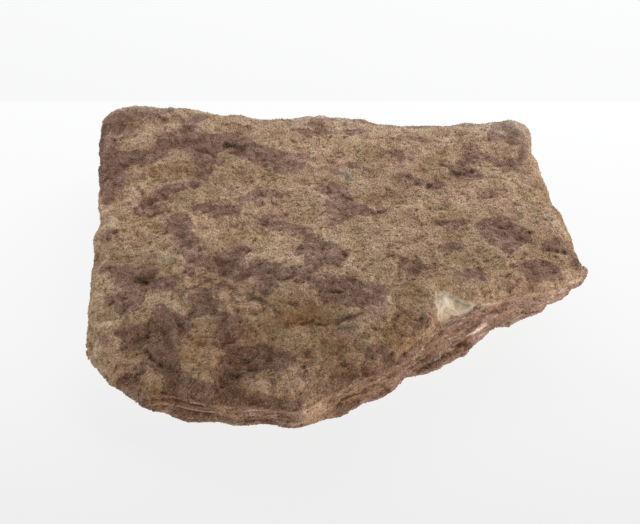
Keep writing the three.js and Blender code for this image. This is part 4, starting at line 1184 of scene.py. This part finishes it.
def sand_group():
    """The colour and the fine relief of the stone; Tint and Tint Share set one kind of grain apart."""
    group = bpy.data.node_groups.new("blotched_sand", "ShaderNodeTree")
    face = group.interface
    face.new_socket("Tint", in_out="INPUT", socket_type="NodeSocketColor")
    face.new_socket("Tint Share", in_out="INPUT", socket_type="NodeSocketFloat")
    face.new_socket("Speckle", in_out="INPUT", socket_type="NodeSocketFloat")
    face.new_socket("Color", in_out="OUTPUT", socket_type="NodeSocketColor")
    face.new_socket("Height", in_out="OUTPUT", socket_type="NodeSocketFloat")
    n = Nodes(group)
    given = n.add("NodeGroupInput").outputs
    place = n.add("ShaderNodeTexCoord").outputs["Object"]
    side = n.mask("side")
    fray = n.math("SUBTRACT", n.pattern("fray", place), 0.5)
    wander = n.math("SUBTRACT", n.pattern("wander", place), 0.5)
    ragged = n.plus(n.times(fray, 0.7), n.times(wander, 0.4))
    laminae = n.pattern("laminae", n.stretched(place, LAMINA_STRETCH))

    def mark(name, edge):
        """A painted mask with its edge broken up by noise."""
        return n.shown(name, n.plus(n.mask(name), edge))

    # dry sand, from warm to olive, with rusty and brown specks
    colour = n.mix(n.patches("olive", place), TAN_WARM, TAN_OLIVE)
    colour = n.mix(n.patches("ochre", place), colour, OCHRE)
    colour = n.mix(mark("rust", wander), colour, OCHRE)
    colour = n.mix(n.patches("specks", n.stretched(place, SPECK_STRETCH)), colour, BROWN_SPECK)

    # the fresher sand of the broken sides
    broken = n.mix(n.mask("pink"), BROKEN_BROWN, BROKEN_PINK)
    colour = n.mix(n.times(side, COVER["broken"]), colour, broken)

    # bleached and grey patches, the purple stain, painted sheen along the far edge, buff beds and worn edges
    # that are partly painted light and highlight, and painted shade in the hollows
    colour = n.mix(n.most(n.patches("bleach", place), mark("pale", ragged)), colour, CREAM)
    colour = n.mix(mark("grey", ragged), colour, GREY_GREEN)
    purple = n.mix(n.patches("deep purple", place), PURPLE, PURPLE_DEEP)
    stain = n.most(mark("stain", ragged), n.patches("mottle", place))
    stain = n.most(stain, n.times(side, n.shown("purple laminae", laminae)))
    colour = n.mix(n.times(stain, COVER["stain"]), colour, purple)
    colour = n.mix(n.times(n.mask("far_sheen"), COVER["sheen"]), colour, SHEEN_PALE)
    # buff beds, partly painted light
    colour = n.mix(mark("buff_lit", n.times(fray, 0.5)), colour, RIM_BUFF)
    # the buff of the worn edges, partly painted highlight
    worn = mark("worn", n.times(fray, 0.4))
    colour = n.mix(n.most(n.times(side, n.shown("buff laminae", laminae)), worn), colour, RIM_BUFF)
    # painted shade, nearly black, in the hollows and creases
    colour = n.mix(mark("hollow_shade", ragged), colour, HOLLOW_SHADE)

    # painted shade in the recesses, splits and crevices, then the flecks of the broken sides and the chip
    colour = n.tinged(colour, mark("recess", n.times(fray, 0.8)), RECESS_SHADE)
    splits = n.times(side, n.patches("splits", n.stretched(place, LEAF_STRETCH)))
    colour = n.mix(n.most(splits, mark("crevice", n.times(fray, 0.4))), colour, CREVICE_SHADE)
    fleck_place = n.stretched(place, FLECK_STRETCH)
    colour = n.mix(n.times(side, n.patches("flecks", fleck_place)), colour, CREVICE_SHADE)
    colour = n.mix(n.times(side, n.patches("small chips", fleck_place)), colour, RIM_BUFF)
    colour = n.mix(n.mask("chip"), colour, n.mix(n.patches("grey chip", place), CHIPPED, CHIPPED_GREY))

    # broad paler and browner areas, the front left's browner as painted shade, then painted shade in hollows
    # against painted highlight on ridges, and dark against light grains
    # painted shade at the front left, with the other browner areas
    colour = n.tinged(colour, n.mask("browned"), BROWNED_TINGE)
    colour = n.tinged(colour, n.mask("paler"), PALER_TINGE)
    # painted shade in the hollows and painted highlight on the ridges
    relief = n.mix(n.shown("relief", n.mask("relief")), HOLLOW_PAINTED_SHADE, RIDGE_PAINTED_HIGHLIGHT)
    colour = n.mix(1.0, colour, relief, "MULTIPLY")
    dark_grain = n.mix(n.shown("dark grain", n.mask("tone")), DARK_GRAIN_TINGE, WHITE)
    light_grain = n.mix(n.shown("light grain", n.mask("tone")), WHITE, LIGHT_GRAIN_TINGE)
    colour = n.mix(1.0, colour, n.mix(1.0, dark_grain, light_grain, "MULTIPLY"), "MULTIPLY")

    # single grains and pores, the pores darkened as painted shade between grains, fewer on the chip
    grain, shaded_pores = n.pattern("grain", place), n.pattern("shaded_pores", place)
    tone = n.times(n.shown("grain", grain), n.shown("shaded_pores", shaded_pores))
    tones = n.add("ShaderNodeCombineColor", Red=tone, Green=tone, Blue=tone).outputs["Color"]
    speckle = n.times(given["Speckle"], n.shown("plain chip", n.mask("chip")))
    colour = n.mix(1.0, colour, n.mix(speckle, WHITE, tones), "MULTIPLY")
    colour = n.mix(given["Tint Share"], colour, given["Tint"])
    height = n.plus(n.plus(n.times(grain, 0.6), shaded_pores), n.times(n.times(side, laminae), 3.0))
    out = n.add("NodeGroupOutput")
    n.set(out, "Color", colour)
    n.set(out, "Height", height)
    return group


SAND_LOOK = sand_group()


def new_material(name):
    """An empty material, and the calls that lay out its nodes."""
    material = bpy.data.materials.new(name)
    material.use_nodes = True
    material.node_tree.nodes.clear()
    return material, Nodes(material.node_tree)


def finish_material(n, surface, constants):
    for key, value in constants.items():
        surface.inputs[key].default_value = value
    output = n.add("ShaderNodeOutputMaterial")
    n.set(output, "Surface", surface.outputs["BSDF"])


def sand_material(name, tint, share, speckle, roughness, gloss, bump):
    material, n = new_material(name)
    given = {"Tint": (*tint, 1), "Tint Share": share, "Speckle": speckle}
    look = n.add("ShaderNodeGroup", {"node_tree": SAND_LOOK}, **given)
    surface = n.add("ShaderNodeBsdfPrincipled", Base_Color=look.outputs["Color"])
    if bump:
        relief = n.add("ShaderNodeBump", **BUMP, Height=look.outputs["Height"])
        n.set(surface, "Normal", relief.outputs["Normal"])
    finish_material(n, surface, {"Roughness": roughness, "Specular IOR Level": gloss})
    return material


stone.data.materials.clear()
stone.data.materials.append(sand_material("sandstone", CREAM, 0.0, 1.0, 0.94, 0.1, True))
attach(stone, "root")
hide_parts(STONE_NODE)

# ---------------------------------------------------------------- the map for baking
# Views of the stone side by side: axis along u, axis along v, left, bottom, millimetres across the whole map
MAP_VIEWS = {
    "top": (0, 1, 0.02, 0.37, 170),
    "under": (0, 1, 0.02, 0.01, 300),
    "front": (0, 2, 0.44, 0.02, 225),
    "back": (0, 2, 0.44, 0.14, 225),
    "left": (2, 1, 0.757, 0.37, 180),
    "right": (2, 1, 0.879, 0.37, 180),
}
MAP_CORNER = (-62, -52, -1)


def lay_out_map(mesh, towards):
    """Gives a mesh the map it is baked through; towards is the direction that each face is seen from."""
    x, y, z = towards.T
    endways = np.abs(x) > np.abs(y)
    view = np.select([z > 0.5, z < -0.5, ~endways & (y < 0), ~endways, x < 0], range(5), 5)
    views = np.repeat(view, read(mesh.polygons, "loop_total", kind=int))
    along, up, left, bottom, across = np.array(list(MAP_VIEWS.values()))[views].T
    spots = read_points(mesh)[read(mesh.loops, "vertex_index", kind=int)] - MAP_CORNER
    each = np.arange(len(spots))
    u = left + spots[each, along.astype(int)] / across
    v = bottom + spots[each, up.astype(int)] / across
    mesh.uv_layers.new(name="OFBake").uv.foreach_set("vector", np.column_stack((u, v)).ravel())


lay_out_map(stone.data, read(stone.data.polygons, "normal", 3))

# ---------------------------------------------------------------- the loose-looking sand grains
GRAIN_SPACING = 0.47  # least distance between the middles of two grains
GRAIN_DENSITY = 9.0  # grains tried per square millimetre
GRAIN_RADIUS = {"least": 0.15, "most": 0.29}
GRAIN_SUNK = 0.06  # how deep a grain's middle sits in the skin
GRAIN_DENT = 0.14  # how far a corner of a grain is off the ball, as a share of its radius
GRAIN_SPECKLE = 0.25  # how much of the fine speckle shows on a grain
GRAIN_SEEDS = {"scatter": 5, "kind": 1, "dent": 2, "turn": 3, "size": 4, "tone": 6}

# One piece each: name, tint, how much of the tint, roughness, gloss
GRAIN_KINDS = [
    ("buff_sand_1", CREAM, 0.0, 0.9, 0.12),
    ("buff_sand_2", CREAM, 0.0, 0.9, 0.12),
    ("ochre_sand", OCHRE, 0.2, 0.9, 0.12),
    ("pale_sand", CREAM, 0.08, 0.8, 0.2),
    ("iron_sand", PURPLE_DEEP, 0.3, 0.9, 0.12),
]


def grain_group(kind, material):
    """Scatters grains over a mesh and keeps those of one kind."""
    group = bpy.data.node_groups.new(f"grains_{kind}", "GeometryNodeTree")
    group.interface.new_socket("Geometry", in_out="INPUT", socket_type="NodeSocketGeometry")
    group.interface.new_socket("Geometry", in_out="OUTPUT", socket_type="NodeSocketGeometry")
    n = Nodes(group)
    skin = n.add("NodeGroupInput").outputs["Geometry"]
    grainy = n.add("GeometryNodeInputNamedAttribute", {"data_type": "FLOAT"}, Name="grainy")
    scatter = n.add("GeometryNodeDistributePointsOnFaces", {"distribute_method": "POISSON"}, Mesh=skin)
    n.set(scatter, "Seed", GRAIN_SEEDS["scatter"])
    n.set(scatter, "Distance Min", GRAIN_SPACING * MM)
    n.set(scatter, "Density Max", GRAIN_DENSITY / MM**2)
    n.set(scatter, "Density Factor", grainy.outputs["Attribute"])

    def chance(data_type, low, high, what):
        node = n.add("FunctionNodeRandomValue", {"data_type": data_type}, Seed=GRAIN_SEEDS[what])
        first, last, result = {"FLOAT_VECTOR": (0, 1, 0), "FLOAT": (2, 3, 1), "INT": (4, 5, 2)}[data_type]
        n.set(node, str(first), low)
        n.set(node, str(last), high)
        return node.outputs[result]

    # the grains of the other kinds go, and the rest are sunk a little
    other = n.add("FunctionNodeCompare", {"data_type": "INT", "operation": "NOT_EQUAL"})
    n.set(other, "2", chance("INT", 0, len(GRAIN_KINDS) - 1, "kind"))
    n.set(other, "3", kind)
    kept = n.add("GeometryNodeDeleteGeometry", {"domain": "POINT"}, Geometry=scatter.outputs["Points"])
    n.set(kept, "Selection", other.outputs["Result"])
    sunk = n.add("ShaderNodeVectorMath", {"operation": "SCALE"}, Scale=-GRAIN_SUNK * MM)
    n.set(sunk, "0", scatter.outputs["Normal"])
    bedded = n.add("GeometryNodeSetPosition", Geometry=kept.outputs["Geometry"], Offset=sunk.outputs["Vector"])

    # a dented ball on each, turned, sized and toned by chance
    ball = n.add("GeometryNodeMeshIcoSphere", Radius=1.0, Subdivisions=1).outputs["Mesh"]
    dent = chance("FLOAT_VECTOR", (-GRAIN_DENT,) * 3, (GRAIN_DENT,) * 3, "dent")
    grain = n.add("GeometryNodeSetPosition", Geometry=ball, Offset=dent).outputs["Geometry"]
    least, most = (GRAIN_RADIUS[key] * MM for key in ("least", "most"))
    placed = n.add("GeometryNodeInstanceOnPoints", Points=bedded.outputs["Geometry"], Instance=grain)
    n.set(placed, "Rotation", chance("FLOAT_VECTOR", (0, 0, 0), (math.tau,) * 3, "turn"))
    n.set(placed, "Scale", chance("FLOAT_VECTOR", (least,) * 3, (most,) * 3, "size"))
    toned = n.add("GeometryNodeStoreNamedAttribute", {"data_type": "FLOAT", "domain": "INSTANCE"}, Name="tone")
    n.set(toned, "Geometry", placed.outputs["Instances"])
    n.set(toned, "Value", chance("FLOAT", 0.0, 1.0, "tone"))
    solid = n.add("GeometryNodeRealizeInstances", Geometry=toned.outputs["Geometry"])
    dressed = n.add("GeometryNodeSetMaterial", Geometry=solid.outputs["Geometry"], Material=material)
    out = n.add("NodeGroupOutput")
    n.set(out, "Geometry", dressed.outputs["Geometry"])
    return group


def add_grains(kind, name, tint, share, roughness, gloss):
    piece = shown(name, stone.data.copy())
    piece.data.materials.clear()
    material = sand_material(name, tint, share, GRAIN_SPECKLE, roughness, gloss, False)
    scatter = piece.modifiers.new("grains", "NODES")
    scatter.node_group = grain_group(kind, material)
    apply_modifiers(piece)
    mesh = piece.data
    points, side = read_points(mesh), read(mesh.attributes["side"].data, "value")
    towards = np.where(points[:, 2:] > TOP_OF_STONE / 3, (0, 0, 1.0), (0, 0, -1.0))
    towards[side > 0.5] = (points * (1, 1.2, 0))[side > 0.5]
    first_corners = read(mesh.loops, "vertex_index", kind=int)[read(mesh.polygons, "loop_start", kind=int)]
    lay_out_map(mesh, towards[first_corners])
    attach(piece, "root")


for kind, look in enumerate(GRAIN_KINDS):
    add_grains(kind, *look)

# ---------------------------------------------------------------- the table, the light and the camera
FLOOR_SIZE = 2400
FLOOR_GLOW = {"near": 0.775, "middle": 0.86, "far": 0.90, "wall": 0.855}
FLOOR_ALBEDO = 0.06
FRONT_Y = -110  # the table's glow changes from here
FOLD_Y = 78  # to here, where the table turns up into the backdrop
MIDDLE_SHARE = 0.45  # how far along from the one to the other the middle glow lies

# Name, place, aim, width and height, power, colour
LIGHTS = [
    ("softbox", (80, 240, 200), (0, 0, 10), (560, 200), 2.15, (0.97, 1.0, 1.06)),
    ("left_card", (-330, -60, 110), (0, 0, 10), (260, 160), 0.58, WHITE),
    ("right_card", (330, -20, 110), (0, 0, 10), (260, 160), 0.20, WHITE),
    ("front_card", (200, -260, 45), (0, 0, 8), (300, 90), 1.15, (1.0, 0.96, 0.9)),
]
ROOM_LIGHT = 0.14

CAMERA_AIM = (-1.03, -12.56, 18.0)
CAMERA_ELEVATION = 43.0
CAMERA_DISTANCE = 239.0
CAMERA_LENS = 59.06
CAMERA_NEAR = 5


def opaque_grey(level):
    return (level, level, level, 1)


def floor_material():
    material, n = new_material("glowing_table")
    place = n.add("ShaderNodeTexCoord").outputs["Object"]
    depth = n.add("ShaderNodeSeparateXYZ", Vector=place).outputs["Y"]
    ramp = n.add("ShaderNodeValToRGB", Fac=n.between(depth, FRONT_Y * MM, FOLD_Y * MM))
    stops = ramp.color_ramp.elements
    stops[0].color = opaque_grey(FLOOR_GLOW["near"])
    stops[1].color = opaque_grey(FLOOR_GLOW["far"])
    stops.new(MIDDLE_SHARE).color = opaque_grey(FLOOR_GLOW["middle"])
    wall = n.between(depth, (FOLD_Y - 1) * MM, (FOLD_Y + 1) * MM)
    glow = n.mix(wall, ramp.outputs["Color"], (FLOOR_GLOW["wall"],) * 3)
    surface = n.add("ShaderNodeBsdfPrincipled", Emission_Color=glow)
    constants = {"Roughness": 1.0, "Specular IOR Level": 0.0, "Emission Strength": 1.0}
    finish_material(n, surface, {"Base Color": opaque_grey(FLOOR_ALBEDO), **constants})
    return material


def add_floor():
    sheet = bmesh.new()
    bmesh.ops.create_grid(sheet, x_segments=1, y_segments=1, size=FLOOR_SIZE / 2 * MM)
    mesh = bpy.data.meshes.new("table")
    sheet.to_mesh(mesh)
    sheet.free()
    mesh.materials.append(floor_material())
    table = shown("table", mesh)


def add_light(name, place, aim, size, power, colour):
    lamp = bpy.data.lights.new(name, "AREA")
    lamp.color = colour
    lamp.shape = "RECTANGLE"
    lamp.size, lamp.size_y = (side * MM for side in size)
    lamp.energy = power
    holder = shown(name, lamp)
    holder.location = Vector(place) * MM
    holder.rotation_euler = (Vector(aim) - Vector(place)).to_track_quat("-Z", "Y").to_euler()


def add_world():
    """Faint light from all round, and a pale backdrop past the end of the table."""
    world = bpy.data.worlds.new("studio")
    bpy.context.scene.world = world
    world.use_nodes = True
    world.node_tree.nodes.clear()
    n = Nodes(world.node_tree)
    light = n.add("ShaderNodeBackground", Strength=ROOM_LIGHT)
    backdrop = n.add("ShaderNodeBackground", Color=opaque_grey(FLOOR_GLOW["wall"]))
    either = n.add("ShaderNodeMixShader", Fac=n.add("ShaderNodeLightPath").outputs["Is Camera Ray"])
    n.set(either, "1", light.outputs["Background"])
    n.set(either, "2", backdrop.outputs["Background"])
    output = n.add("ShaderNodeOutputWorld")
    n.set(output, "Surface", either.outputs["Shader"])


def add_camera():
    lens = bpy.data.cameras.new("camera")
    lens.lens = CAMERA_LENS
    lens.clip_start = CAMERA_NEAR * MM
    camera = shown("camera", lens)
    tilt = math.radians(CAMERA_ELEVATION)
    back = Vector((0, -math.cos(tilt), math.sin(tilt)))
    camera.location = (Vector(CAMERA_AIM) + CAMERA_DISTANCE * back) * MM
    camera.rotation_euler = (math.pi / 2 - tilt, 0, 0)
    bpy.context.scene.camera = camera


add_floor()
for light in LIGHTS:
    add_light(*light)
add_world()
add_camera()
bpy.context.scene.view_settings.view_transform = "Standard"
